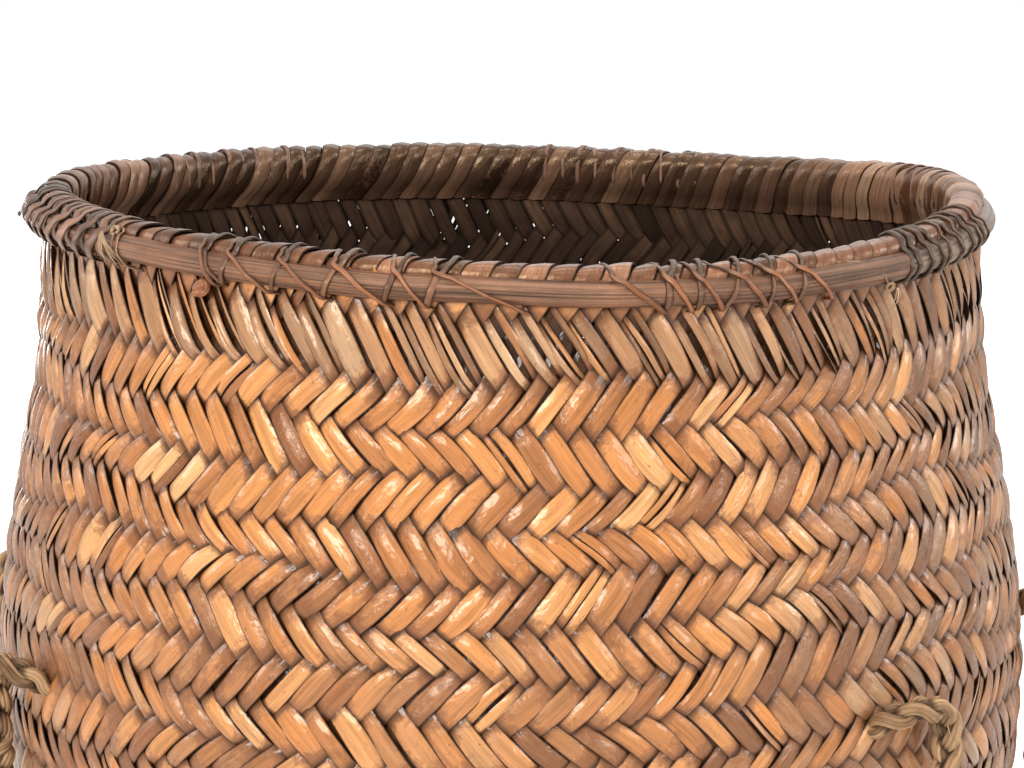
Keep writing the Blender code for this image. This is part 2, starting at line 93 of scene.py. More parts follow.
# How far the rim rises above HEIGHT, on average and in waves round it, and where the rise fades out
RISE_MEAN = 0.0028
RISE_WAVES = ((0.0001, -0.0021), (-0.0033, -0.0008), (-0.0005, -0.0013), (0.0006, 0.0001))
RISE_START_DROP = 0.140
RISE_FULL_DROP = 0.035

# The plaiting: the strips of each set, and the height of a row of floats in strips
STRIPS = 130
ROW = 1.5
SEED = 7
# The strips lie wider apart near the front, by this share, within this reach of this azimuth
SPREAD_SHARE = 0.07
SPREAD_REACH = math.radians(25)
SPREAD_MIDDLE = math.radians(-10)
# A level is a height counted in strips. These levels lie at these drops below the rim, and the rows
# under them are all as high.
ROW_LEVELS = (2.5, 1.5, 0.0, -1.5, -3.0)
ROW_DROPS = (0.000, 0.0165, 0.0420, 0.0575, 0.0755)
ROW_PITCH = 0.01675
# How far a level is smoothed, and how far the rows bow up and ripple
LEVEL_SOFTNESS = 0.35
BOW = 0.010
RIPPLE = 0.0016
# The level at which the strips end, under the folded ends
LEVEL_TOP = 2.15

# A mesh has sharp edges from this angle on. The faces round a strip from this number on are its
# edges and its underside.
CREASE = math.radians(50)
UNDER_FROM = 4
# A curve through points: its powers' factors from the points before, at both ends and after
CURVE = np.array(((0, 2, 0, 0), (-1, 0, 1, 0), (2, -5, 4, -1), (-1, 3, -3, 1))) / 2

random = np.random.default_rng(SEED)
draw = random.uniform


# Small tools


def place(azimuth, radius, height):
    """Points at azimuths, distances from the basket's axis and heights."""
    azimuth, radius, height = np.broadcast_arrays(azimuth, radius, height)
    return np.stack((radius * np.sin(azimuth), -radius * np.cos(azimuth), height), axis=-1)


def smooth_step(share):
    share = np.clip(share, 0.0, 1.0)
    return share * share * (3 - 2 * share)


def raise_rim(points):
    """Points lifted with the rim, which isn't quite level, as in the part's source."""
    azimuth = np.arctan2(points[:, 0], -points[:, 1])
    rise = RISE_MEAN
    for turns, (even, odd) in enumerate(RISE_WAVES, 1):
        rise = rise + even * np.cos(turns * azimuth) + odd * np.sin(turns * azimuth)
    share = (points[:, 2] - HEIGHT + RISE_START_DROP) / (RISE_START_DROP - RISE_FULL_DROP)
    lifted = points.copy()
    lifted[:, 2] += rise * smooth_step(share)
    return lifted


def unit(vectors):
    return vectors / np.maximum(np.linalg.norm(vectors, axis=-1, keepdims=True), 1e-12)


def directions_along(path):
    """The unit tangent at each point of a path."""
    return unit(np.gradient(path, axis=0))


def lengths_along(path):
    """The length from a path's start to each of its points."""
    steps = np.linalg.norm(np.diff(path, axis=0), axis=1)
    return np.concatenate(([0], np.cumsum(steps)))


def resample(path, step):
    """The path again, as points a fixed step apart on a smooth curve through it."""
    path = np.asarray(path, float)
    ends = np.vstack((2 * path[0] - path[1], path, 2 * path[-1] - path[-2]))
    powers = np.linspace(0, 1, 12, endpoint=False)[:, None] ** np.arange(4)
    pieces = [powers @ CURVE @ ends[index : index + 4] for index in range(len(path) - 1)]
    fine = np.vstack(pieces + [path[-1:]])
    lengths = lengths_along(fine)
    marks = np.linspace(0, lengths[-1], max(int(lengths[-1] / step), 4))
    return np.stack([np.interp(marks, lengths, column) for column in fine.T], axis=1)


def smoothed(columns, count):
    """Columns of values as running means over a count of neighbours."""
    padded = np.pad(columns, ((count // 2, count // 2), (0, 0)), mode="edge")
    window = np.ones(count) / count
    return np.stack([np.convolve(column, window, "valid") for column in padded.T], axis=1)


def rings_along(line, side, face, wide, thick, turn):
    """Oval rings of points round a line, with their half sizes along side and face."""
    out = side[:, None] * (np.cos(turn) * np.reshape(wide, (-1, 1)))[..., None]
    up = face[:, None] * (np.sin(turn) * np.reshape(thick, (-1, 1)))[..., None]
    return line[:, None] + out + up


def lay_of(points, marks, across, seed):
    """Each point's place in its own piece's grain: along it, across it, and a number of the piece."""
    lay = np.zeros(points.shape)
    lay[..., 0] = marks[:, None]
    lay[..., 1] = across
    lay[..., 2] = seed
    return lay


def add_object(name, data):
    item = bpy.data.objects.new(name, data)
    bpy.context.scene.collection.objects.link(item)
    return item


def sections_mesh(name, blocks, material, creased=False, under=None):
    """One mesh from many closed tubes. A block is its points (rings, around, 3) and its attributes.

    Where an under material is given, each tube's ends and its faces from UNDER_FROM on have it.
    """
    coords, corners, sizes, kinds = [], [], [], []
    values = {key: [] for _, facts in blocks for key in facts}
    base = 0
    for points, facts in blocks:
        rings, around = points.shape[:2]
        index = np.arange(rings * around).reshape(rings, around)
        low, high = index[:-1], index[1:]
        quads = np.stack((low, np.roll(low, -1, 1), np.roll(high, -1, 1), high), axis=-1)
        middle = points[rings // 2 - 1 : rings // 2 + 1].mean(axis=(0, 1))
        side = quads[rings // 2 - 1].reshape(-1, 4)
        flat = points.reshape(-1, 3)
        across = np.cross(flat[side[:, 1]] - flat[side[:, 0]], flat[side[:, 3]] - flat[side[:, 0]])
        outward = (across * (flat[side].mean(axis=1) - middle)).sum()
        quads = quads.reshape(-1, 4)
        caps = [index[0, ::-1], index[-1]]
        if outward < 0:
            quads = quads[:, ::-1]
            caps = [cap[::-1] for cap in caps]
        coords.append(flat)
        corners += [(quads + base).ravel(), *(cap + base for cap in caps)]
        sizes += [4] * len(quads) + [around, around]
        kinds += [np.tile(np.arange(around) >= UNDER_FROM, rings - 1), np.ones(2, bool)]
        for key, parts in values.items():
            given = np.asarray(facts.get(key, np.zeros((rings, around))), float)
            parts.append(given.reshape(rings * around, -1))
        base += rings * around
    mesh = bpy.data.meshes.new(name)
    mesh.vertices.add(base)
    mesh.vertices.foreach_set("co", raise_rim(np.concatenate(coords)).ravel())
    mesh.loops.add(sum(sizes))
    mesh.loops.foreach_set("vertex_index", np.concatenate(corners))
    mesh.polygons.add(len(sizes))
    mesh.polygons.foreach_set("loop_start", np.cumsum(sizes) - sizes)
    for key, parts in values.items():
        data = np.concatenate(parts)
        kind, field = ("FLOAT_VECTOR", "vector") if data.shape[1] == 3 else ("FLOAT", "value")
        mesh.attributes.new(key, kind, "POINT").data.foreach_set(field, data.ravel())
    mesh.update(calc_edges=True)
    mesh.validate()
    mesh.shade_smooth()
    if creased:
        mesh.set_sharp_from_angle(angle=CREASE)
    mesh.materials.append(material)
    if under is not None:
        mesh.materials.append(under)
        mesh.polygons.foreach_set("material_index", np.concatenate(kinds).astype(np.int32))
    return add_object(name, mesh)


def add_piece(name, blocks, material, node=None, creased=False, under=None):
    """A piece that rides on the basket, in place of a CAD node where one is named."""
    item = sections_mesh(name, blocks, material, creased, under)
    if node:
        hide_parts(node)
    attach(item, "basket")
    return item


# The basket's surface


def wall_outline(height):
    """Half the wall's width at each height, as in the part's source."""
    foot_slope = 1 / math.tan(FOOT_TURN)
    low_slope = (BELLY_RADIUS - BASE_HALF) / (HEIGHT - BELLY_DROP - FOOT_HEIGHT)
    stations = np.array(
        (
            (FOOT_HEIGHT, BASE_HALF, foot_slope),
            (LOW_HEIGHT, LOW_HALF, low_slope),
            (HEIGHT - BELLY_DROP, BELLY_RADIUS, 0.0),
            (HEIGHT - SHOULDER_DROP, SHOULDER_RADIUS, SHOULDER_SLOPE),
            (HEIGHT - NECK_DROP, NECK_RADIUS, NECK_SLOPE),
            (HEIGHT - RIM_BAND, RIM_RADIUS, 0.0),
            (HEIGHT + RIM_BAND, RIM_RADIUS, 0.0),
        )
    )
    index = np.clip(np.searchsorted(stations[:, 0], height) - 1, 0, len(stations) - 2)
    low, low_half, low_slope = stations[index].T
    high, high_half, high_slope = stations[index + 1].T
    span = high - low
    share = (height - low) / span
    return (
        low_half * (1 + 2 * share) * (1 - share) ** 2
        + span * low_slope * share * (1 - share) ** 2
        + high_half * share**2 * (3 - 2 * share)
        + span * high_slope * share**2 * (share - 1)
    )


def meridian_table():
    """Length along the wall from the flat base, with its half width, corner radius and height."""
    turn = np.linspace(0, FOOT_TURN, 24, endpoint=False)
    foot_half = BASE_HALF - FOOT_RADIUS * (math.sin(FOOT_TURN) - np.sin(turn))
    heights = np.linspace(FOOT_HEIGHT, HEIGHT, 500)
    half = np.concatenate((foot_half, wall_outline(heights)))
    height = np.concatenate((FOOT_RADIUS * (1 - np.cos(turn)), heights))
    share = smooth_step((height - FOOT_HEIGHT) / (ROUND_HEIGHT - FOOT_HEIGHT))
    foot_corner = BASE_CORNER - (BASE_HALF - half)
    corner = np.where(
        height < FOOT_HEIGHT, foot_corner, BASE_CORNER + (half - BASE_CORNER) * share
    )
    steps = np.hypot(np.diff(half), np.diff(height))
    return np.concatenate(([0], np.cumsum(steps))), half, corner, height


MERIDIAN, TABLE_HALF, TABLE_CORNER, TABLE_HEIGHT = meridian_table()


def wall_point(azimuth, length):
    """The outer face of the wall at an azimuth and a length up the wall from the flat base."""
    half = np.interp(length, MERIDIAN, TABLE_HALF)
    corner = np.interp(length, MERIDIAN, TABLE_CORNER)
    height = np.interp(length, MERIDIAN, TABLE_HEIGHT)
    across = np.abs(np.sin(azimuth))
    along = np.abs(np.cos(azimuth))
    straight = half - corner
    most = np.maximum(across, along)
    least = np.minimum(across, along)
    lean = straight * (across + along)
    rounded = lean + np.sqrt(np.maximum(lean**2 - 2 * straight**2 + corner**2, 0))
    reach = np.where(least / most * half <= straight, half / most, rounded)
    return place(azimuth, reach, height)


def wall_frame(azimuth, length):
    """Wall points with their outward normals."""
    small = 1e-3
    point = wall_point(azimuth, length)
    around = wall_point(azimuth + small, length) - wall_point(azimuth - small, length)
    upward = wall_point(azimuth, length + small) - wall_point(azimuth, length - small)
    return point, unit(np.cross(around, upward))


LOWEST = float(np.interp(HEIGHT - ROW_DROPS[-1], TABLE_HEIGHT, MERIDIAN))
LEVEL_BASE = ROW_LEVELS[-1] - LOWEST / ROW_PITCH * ROW
SPREAD_TABLE = np.linspace(-math.pi, math.pi, 721)
SPREAD_SUM = np.cumsum(
    1 + SPREAD_SHARE * np.exp(-(((SPREAD_TABLE - SPREAD_MIDDLE) / SPREAD_REACH) ** 2))
)
SPREAD_SUM = (SPREAD_SUM - SPREAD_SUM[0]) / (SPREAD_SUM[-1] - SPREAD_SUM[0]) * math.tau - math.pi


def strip_azimuth(number):
    """The azimuth at a place round the basket that is counted in strips."""
    turn = np.asarray(number) / STRIPS * math.tau + math.pi
    whole = np.floor(turn / math.tau)
    return np.interp(turn - whole * math.tau - math.pi, SPREAD_TABLE, SPREAD_SUM) + whole * math.tau


def level_length(level, azimuth):
    """The length up the wall at a level of the plaiting, with the gentle waves of its rows."""
    knots = np.interp([HEIGHT - drop for drop in ROW_DROPS], TABLE_HEIGHT, MERIDIAN)
    levels = np.array([LEVEL_BASE] + list(ROW_LEVELS[::-1]))
    lengths = np.array([0.0] + list(knots[::-1]))
    plain = np.interp(level, levels, lengths)
    above = np.interp(level + LEVEL_SOFTNESS, levels, lengths)
    below = np.interp(level - LEVEL_SOFTNESS, levels, lengths)
    plain = np.where(np.abs(level) < 2.0, (plain + above + below) / 3, plain)
    share = plain / MERIDIAN[-1]
    bow = BOW * smooth_step((1 - share) / 0.45) * smooth_step(share / 0.5)
    fade = smooth_step((1 - share) / 0.12) * smooth_step(share / 0.2)
    waves = np.sin(3 * azimuth + 1.0) + np.sin(7 * azimuth + level) + np.sin(11 * azimuth - level)
    return plain + bow * (1 - np.cos(4 * azimuth)) / 2 + fade * (RIPPLE * waves)


# The camera stands where the photographer's did. It comes before the cords, which it must see.
FOCAL_PIXELS = 2677
FRAME_PIXELS = 1024
SENSOR = 36.0
CAMERA_PITCH = math.radians(11.17)
CAMERA_PLACE = (0.0005, -1.0812, HEIGHT + 0.1364)
lens = bpy.data.cameras.new("camera")
lens.sensor_width = SENSOR
lens.lens = FOCAL_PIXELS / FRAME_PIXELS * SENSOR
lens.clip_start = 0.05
lens.clip_end = 60
camera = add_object("camera", lens)
camera.location = CAMERA_PLACE
camera.rotation_euler = (math.pi / 2 - CAMERA_PITCH, 0, 0)
bpy.context.scene.camera = camera


# Materials

GLOSS_TINT = (1.0, 0.72, 0.50)
WARM_GLOSS = (1.0, 0.62, 0.32)
COAT_TINT = (1.0, 0.90, 0.78)
COAT_ROUGHNESS = 0.15
GREY_SKIN = (0.255, 0.140, 0.082)
SPECKS = (0.070, 0.026, 0.012)
# Dark brown for the crevices between the strips: partly dirt, partly painted shade
CREVICE_DIRT_AND_SHADE = (0.026, 0.008, 0.003)
CREVICE_ROUGHNESS = (0.85, 0.85, 0.85)
PITH_DARK = (0.010, 0.005, 0.004)
PITH_LIGHT = (0.072, 0.039, 0.024)
# Dark at the pith's edges: partly dirt, partly painted shade that outlines each strip
PITH_EDGE_DIRT_AND_SHADE = (0.006, 0.003, 0.002)
# The pith is painted brighter near the rim, as painted light where light reaches the upper inside:
# from this height, over this reach, by this much
PITH_HIGH = HEIGHT - 0.046
PITH_REACH = 0.030
PITH_PAINTED_LIGHT = (2.2, 2.1, 1.9)
CANE_CRACK = (0.020, 0.011, 0.008)
OLD_FIBRE_DARK = (0.026, 0.016, 0.012)
OLD_FIBRE_LIGHT = (0.135, 0.088, 0.062)
# Dark for the strands' edges, as dirt and painted shade, and for fibres buried in the rope, as painted
# shade
FIBRE_DIRT_AND_SHADE = (0.022, 0.010, 0.006)


def give(tree, node, socket, value):
    """Gives a socket a value, or a link where the value is another node's output."""
    if isinstance(value, bpy.types.NodeSocket):
        tree.links.new(value, node.inputs[socket])
    elif isinstance(value, tuple) and len(value) == 3 and node.inputs[socket].type == "RGBA":
        node.inputs[socket].default_value = (*value, 1)
    else:
        node.inputs[socket].default_value = value


def add_node(tree, kind, sockets=None, **facts):
    """A new node's outputs. It has these facts, and these values or links at its sockets."""
    node = tree.nodes.new(f"ShaderNode{kind}")
    for name, fact in facts.items():
        setattr(node, name, fact)
    for socket, value in (sockets or {}).items():
        give(tree, node, socket, value)
    return node.outputs


class Shader:
    """A material's nodes, added one after another."""

    def __init__(self, name, roughness=0.5, coat=0.0, specular=0.5, gloss_tint=GLOSS_TINT):
        self.material = bpy.data.materials.new(name)
        self.material.use_nodes = True
        self.tree = self.material.node_tree
        self.surface = self.tree.nodes["Principled BSDF"]
        self.set("Roughness", roughness)
        self.set("Coat Weight", coat)
        self.set("Coat Roughness", COAT_ROUGHNESS)
        self.set("Coat Tint", COAT_TINT)
        self.set("Specular IOR Level", specular)
        self.set("Specular Tint", gloss_tint)

    def set(self, socket, value):
        give(self.tree, self.surface, socket, value)

    def add(self, kind, sockets=None, **facts):
        return add_node(self.tree, kind, sockets, **facts)

    def attribute(self, name, output="Fac"):
        return self.add("Attribute", attribute_name=name)[output]

    def place(self):
        return self.add("TexCoord")["Object"]

    def noise(self, vector, scale, detail, roughness, distortion):
        sockets = {"Vector": vector, "Scale": scale, "Detail": detail, "Roughness": roughness}
        return self.add("TexNoise", {**sockets, "Distortion": distortion})["Fac"]

    def stains(self, scale, detail=4, roughness=0.55, distortion=0.0):
        """Noise that is as fine every way."""
        return self.noise(self.place(), scale, detail, roughness, distortion)

    def grain(self, along, across, detail, roughness=0.55, distortion=0.0):
        """Noise drawn out along the piece, with its scales along and across it."""
        sockets = {"Vector": self.attribute("lay", "Vector"), "Scale": (along, across, 1)}
        return self.noise(self.add("Mapping", sockets)["Vector"], 1.0, detail, roughness, distortion)

    def ramp(self, value, *stops):
        """Colours or greys that follow a value through its stops."""
        colour = self.add("ValToRGB", {"Fac": value})["Color"]
        points = colour.node.color_ramp.elements
        while len(points) < len(stops):
            points.new(0.5)
        for point, (position, shade) in zip(points, stops):
            point.position = position
            point.color = (*shade, 1) if isinstance(shade, tuple) else (shade, shade, shade, 1)
        return colour

    def mix(self, share, first, second, blend="MIX"):
        sockets = {0: share, 6: first, 7: second}
        return self.add("Mix", sockets, data_type="RGBA", blend_type=blend)[2]

    def shade(self, share, colour, factor):
        """A colour times a factor, as far as the share says."""
        return self.mix(share, colour, factor, "MULTIPLY")

    def math(self, kind, first, second, clamp=False):
        return self.add("Math", {0: first, 1: second}, operation=kind, use_clamp=clamp)[0]

    def times(self, value, factor):
        return self.math("MULTIPLY", value, factor)

    def total(self, *parts):
        """The sum of values that are each times a factor."""
        whole = 0.0
        for value, factor in parts:
            whole = self.math("ADD", self.times(value, factor), whole)
        return whole

    def bumps(self, *layers):
        """A normal from layers of bumps, each with its height, its depth and its strength."""
        sockets = {}
        for height, depth, strength in layers:
            sockets.update({"Height": height, "Distance": depth, "Strength": strength})
            sockets = {"Normal": self.add("Bump", sockets)["Normal"]}
        return sockets["Normal"]


def strip_material(name, tones, others, skins, wear, coat):
    """Split cane: worn bright in the middle of each float, brown towards its ends and edges."""
    shader = Shader(name, coat=coat, specular=0.42, gloss_tint=WARM_GLOSS)
    tone, cover, side, skin_and_shade = map(shader.attribute, ("tone", "cover", "side", "skin_and_shade"))
    grain = shader.grain(45, 1250, 5, 0.66)
    streak = shader.grain(28, 420, 3)
    dents = shader.grain(170, 330, 2, 0.5)
    fleck = shader.grain(420, 900, 5, 0.7)
    stain = shader.stains(42, 5, 0.62, 0.8)
    blotch = shader.stains(210, 6, 0.72, 0.9)
    broad = shader.stains(9, 2)

    colour = shader.ramp(tone, *tones)
    # The other tones: khaki on the wall's strips, painted shade on the folds at the back and inside
    colour = shader.mix(shader.attribute("khaki_and_shade"), colour, shader.ramp(tone, *others))
    streaks = shader.ramp(streak, (0.30, 0.70), (0.55, 1.0), (0.75, 1.14))
    streaks = shader.shade(0.5, streaks, shader.ramp(grain, (0.36, 0.62), (0.60, 1.16)))
    colour = shader.shade(1.0, colour, streaks)

    # The brown skin that use has not worn away
    edge = shader.math("POWER", side, 3.0)
    worn = ((blotch, 0.55), (stain, 0.60), (broad, 0.30), (cover, 0.30), (edge, 0.09), (skin_and_shade, 0.05))
    ragged = shader.total(*worn, (tone, -0.14))
    patch = shader.ramp(ragged, (wear - 0.015, 0.0), (wear + 0.10, 1.0))
    # Grey brown mixed in on the sides: partly the skin's own colour, partly painted shade
    patina = shader.mix(shader.times(skin_and_shade, 0.5), shader.mix(grain, *skins), GREY_SKIN)
    mottled = shader.ramp(blotch, (0.36, 0.0), (0.62, 1.0))
    patina = shader.mix(mottled, shader.mix(0.55, patina, skins[0]), patina)
    colour = shader.mix(shader.times(patch, 0.82), colour, patina)
    specks = shader.ramp(fleck, (0.31, 1.0), (0.36, 0.0))
    colour = shader.mix(shader.times(specks, 0.75), colour, SPECKS)

    # Dirt and painted shade in the crevices: along the edges, and where a float dives under the next
    dirt_and_shade = shader.ramp(side, (0.85, 0.0), (0.96, 0.95))
    dirt_and_shade = shader.math("MAXIMUM", dirt_and_shade, shader.ramp(cover, (0.58, 0.0), (0.94, 0.97)))
    shader.set("Base Color", shader.mix(dirt_and_shade, colour, CREVICE_DIRT_AND_SHADE))
    rough = shader.ramp(ragged, (wear - 0.2, 0.19), (wear, 0.23), (wear + 0.15, 0.33))
    shader.set("Roughness", shader.mix(dirt_and_shade, rough, CREVICE_ROUGHNESS))
    fine = ((grain, 0.00013, 0.8), (fleck, 0.00020, 0.6), (patch, 0.00010, 0.7))
    shader.set("Normal", shader.bumps(*fine, (dents, 0.0006, 0.7), (ragged, 0.0004, 0.5)))
    coarse = ((patch, 0.00012, 0.7), (streak, 0.00035, 0.8), (dents, 0.0007, 0.7))
    shader.set("Coat Normal", shader.bumps(*coarse))
    return shader.material


def pith_material():
    """The dull, dark inner side of the strips and their cut edges."""
    shader = Shader("strip_pith", roughness=0.7, specular=0.18)
    grain = shader.grain(35, 900, 5, 0.65)
    stain = shader.ramp(shader.stains(60, 4, 0.6), (0.35, 0.45), (0.65, 1.2))
    colour = shader.mix(shader.times(shader.attribute("tone"), stain), PITH_DARK, PITH_LIGHT)
    # Painted light: the pith is made brighter near the rim
    high = shader.add("SeparateXYZ", {"Vector": shader.place()})[2]
    high = shader.math("DIVIDE", shader.math("SUBTRACT", high, PITH_HIGH), PITH_REACH, True)
    colour = shader.mix(high, colour, shader.shade(1.0, colour, PITH_PAINTED_LIGHT))
    colour = shader.shade(0.8, colour, shader.ramp(grain, (0.3, 0.45), (0.7, 1.35)))
    # Dirt and painted shade along the pith's edges
    edge = shader.ramp(shader.attribute("side"), (0.55, 0.0), (0.95, 0.85))
    shader.set("Base Color", shader.mix(edge, colour, PITH_EDGE_DIRT_AND_SHADE))
    shader.set("Normal", shader.bumps((grain, 0.0004, 0.8)))
    return shader.material


def cane_material(name, dark, light, streaks):
    """Weathered cane with fine grain along its length."""
    shader = Shader(name, roughness=0.36)
    grain = shader.grain(11, 950, 7, 0.74, 0.3)
    colour = shader.mix(shader.ramp(grain, (0.40, 0.0), (0.60, 1.0)), dark, light)
    warm = shader.ramp(shader.grain(12, 330, 3), (0.52, 0.0), (0.66, 1.0))
    colour = shader.mix(shader.times(warm, 0.6), colour, streaks)
    colour = shader.shade(0.7, colour, shader.ramp(shader.stains(70), (0.3, 0.50), (0.7, 1.20)))
    cracks = shader.grain(9, 900, 4, 0.6)
    crack = shader.ramp(cracks, (0.33, 1.0), (0.38, 0.0))
    shader.set("Base Color", shader.mix(shader.times(crack, 0.75), colour, CANE_CRACK))
    shader.set("Normal", shader.bumps((grain, 0.0006, 0.8), (cracks, 0.0008, 0.6)))
    return shader.material


def fibre_material(name, dark, light, roughness, coat=0.0, aged=False):
    """Straw or vine, with threads along it and a tone for each length. Age turns it dark grey."""
    shader = Shader(name, roughness=roughness, coat=coat, specular=0.4)
    thread = shader.grain(30, 1300, 6, 0.72)
    share = shader.total((shader.attribute("tone"), 0.55), (shader.grain(140, 260, 4, 0.6), 0.45))
    share = shader.ramp(share, (0.22, 0.0), (0.72, 1.0))
    colour = shader.mix(share, dark, light)
    if aged:
        grey = shader.mix(share, OLD_FIBRE_DARK, OLD_FIBRE_LIGHT)
        colour = shader.mix(shader.attribute("age"), colour, grey)
    colour = shader.shade(0.85, colour, shader.ramp(thread, (0.34, 0.42), (0.64, 1.22)))
    # Dark along the edges, as dirt and painted shade, and where buried, as painted shade
    edge = shader.ramp(shader.attribute("side"), (0.50, 0.0), (0.92, 0.88))
    shader.set("Base Color", shader.mix(edge, colour, FIBRE_DIRT_AND_SHADE))
    shader.set("Normal", shader.bumps((thread, 0.00045, 0.8)))
    return shader.material


STRIP = strip_material(
    "plaited_strip",
    (
        (0.0, (0.205, 0.080, 0.034)),
        (0.20, (0.320, 0.130, 0.052)),
        (0.50, (0.500, 0.200, 0.064)),
        (0.80, (0.620, 0.280, 0.098)),
        (1.0, (0.660, 0.365, 0.165)),
    ),
    (
        (0.0, (0.140, 0.080, 0.050)),
        (0.45, (0.310, 0.185, 0.110)),
        (1.0, (0.510, 0.340, 0.205)),
    ),
    ((0.095, 0.030, 0.011), (0.265, 0.094, 0.036)),
    0.755,
    0.43,
)
FOLD = strip_material(
    "folded_strip",
    (
        (0.0, (0.066, 0.027, 0.015)),
        (0.42, (0.155, 0.065, 0.035)),
        (0.78, (0.285, 0.130, 0.074)),
        (1.0, (0.420, 0.262, 0.170)),
    ),
    # For the folds, these darker tones are painted shade, at the back and down the inside
    (
        (0.0, (0.022, 0.011, 0.007)),
        (0.45, (0.070, 0.036, 0.022)),
        (1.0, (0.210, 0.115, 0.070)),
    ),
    ((0.070, 0.030, 0.017), (0.165, 0.075, 0.043)),
    0.81,
    0.14,
)
PITH = pith_material()
OUTER_CANE = cane_material(
    "weathered_cane", (0.042, 0.019, 0.011), (0.285, 0.142, 0.086), (0.30, 0.122, 0.055)
)
PALE_CANE = cane_material("pale_cane", (0.42, 0.30, 0.20), (0.74, 0.60, 0.45), (0.60, 0.42, 0.26))
GREY_CANE = cane_material(
    "grey_cane", (0.085, 0.058, 0.043), (0.38, 0.29, 0.22), (0.28, 0.17, 0.105)
)
VINE = fibre_material("vine", (0.048, 0.018, 0.009), (0.32, 0.120, 0.052), 0.34, 0.2, aged=True)
MAUVE_VINE = fibre_material("mauve_vine", (0.042, 0.022, 0.016), (0.28, 0.150, 0.102), 0.38, 0.2)
STRAW = fibre_material("straw", (0.130, 0.076, 0.042), (0.48, 0.320, 0.195), 0.6)
ROPE = fibre_material("straw_rope", (0.105, 0.052, 0.024), (0.50, 0.310, 0.165), 0.62)


# The rope handles. Their routes repeat the part's own.

HOLE_HEIGHT = HEIGHT - HOLE_DROP
HOLE_WALL = float(wall_outline(np.array([HOLE_HEIGHT]))[0])
HANG_RADIUS = HOLE_WALL + HANDLE_STANDOFF
HANG_HALF = HANG_RADIUS * math.sin(HINGE_SPREAD)
HANG_BACK = HANG_RADIUS * math.cos(HINGE_SPREAD)
RIGHT_MIDDLE = math.radians(63.5)
LEFT_MIDDLE = math.radians(-81.5)
STRANDS = 3
FIBRES = 8
BRAID_STEP = 0.0011
BRAID_PITCH = ROPE_RADIUS * 5.4
STRAY_FIBRES = 26
KNOT_CORE = 0.0034
KNOT_FIBRES = 7


def handle_axes(middle):
    """The hinge line's middle, and the directions along it and outwards."""
    outwards = place(middle, 1.0, 0.0)
    along = np.cross(outwards, (0, 0, 1))
    return place(middle, HANG_BACK, HOLE_HEIGHT), along, outwards


def end_route(side):
    """From the wall's hole to the hinge line, in the handle's own axes."""
    aim = np.array((side * math.sin(HOLE_SPREAD), math.cos(HOLE_SPREAD), 0))
    start = np.array((0, -HANG_BACK, 0)) + aim * HOLE_WALL
    end = np.array((side * HANG_HALF, 0, 0))
    leave = start + aim * BEND_REACH * 1.2 + (0, 0, BEND_RISE * 1.5)
    arrive = end + np.array((side * BEND_REACH * 1.1, 0, 0.008))
    share = np.linspace(0, 1, BEND_STEPS, endpoint=False)[:, None]
    rest = 1 - share
    middle = leave * 3 * rest**2 * share + arrive * 3 * rest * share**2
    inside = start - aim * (WALL + KNOT_LENGTH * 0.35)
    return np.vstack((inside, start * rest**3 + middle + end * share**3))


def loop_route():
    """From one end of the hinge line round the hanging loop to the other."""
    turn = np.linspace(0, math.pi, HANDLE_STEPS + 1)
    along = HANG_HALF * np.cos(turn)
    drop = (HANDLE_DROP - HANDLE_STRAIGHT) * np.sin(turn) ** HANDLE_POWER
    outwards = np.sqrt(HANG_RADIUS**2 - along**2) - HANG_BACK
    return np.stack((along, outwards, -HANDLE_STRAIGHT - drop), axis=1)


def fibre_block(line, radius, around, tone, buried=0.0):
    """A round tube along a line, as one block. Where it is buried in the rope, it is painted dark, as
    painted shade.
    """
    ahead = directions_along(line)
    sides = [unit(np.cross(ahead[0], (0.31, 0.52, 0.79)))]
    for aim in ahead[1:]:
        sides.append(unit(sides[-1] - aim * (sides[-1] @ aim)))
    side = np.array(sides)
    turn = np.linspace(0, math.tau, around, endpoint=False)
    width = np.broadcast_to(np.asarray(radius, float), len(line))
    points = rings_along(line, side, np.cross(side, ahead), width, width, turn)
    lay = lay_of(points, lengths_along(line) + tone, np.cos(turn) * np.mean(width), tone)
    side = np.broadcast_to(buried, len(line))[:, None] * np.ones(around)
    return points, {"lay": lay, "side": side, "tone": np.full(points.shape[:2], tone)}


def braid_blocks(path):
    """Three strands of straw plaited flat round a path, each of several twisted fibres."""
    path = resample(path, BRAID_STEP)
    ahead = directions_along(path)
    side = unit(np.cross(ahead, (0, 0, 1)) + 1e-9)
    side = unit(np.cross(ahead, np.cross(side, ahead)))
    for index in range(1, len(side)):
        if side[index] @ side[index - 1] < 0:
            side[index] *= -1
    side = unit(smoothed(side, 9))
    face = np.cross(side, ahead)
    marks = np.arange(len(path)) * BRAID_STEP
    blocks = []
    for strand in range(STRANDS):
        phase = math.tau * (marks / BRAID_PITCH + strand / STRANDS)
        core = path + side * (0.50 * ROPE_RADIUS * np.sin(phase))[:, None]
        core = core + face * (0.33 * ROPE_RADIUS * np.sin(2 * phase))[:, None]
        along = directions_along(core)
        up = unit(np.cross(along, side))
        out = np.cross(up, along)
        for fibre in range(FIBRES):
            turn = math.tau * (marks / (BRAID_PITCH * 1.7) + fibre / FIBRES)
            ring = ROPE_RADIUS * (0.34 + 0.03 * math.sin(fibre * 2.4))
            line = core + out * (ring * np.cos(turn))[:, None]
            line = line + up * (0.72 * ring * np.sin(turn))[:, None]
            # Fibres deep in the braid are painted dark, as painted shade
            depth = 0.80 - np.linalg.norm(line - path, axis=1) / ROPE_RADIUS
            tone = draw(0.15, 0.95)
            blocks.append(fibre_block(line, ROPE_RADIUS * 0.165, 6, tone, np.clip(depth / 0.38, 0, 1)))
        # Each strand's core is painted fully dark, as shade between its fibres
        blocks.append(fibre_block(core, ROPE_RADIUS * 0.25, 6, 0.2, 1.0))
    return blocks


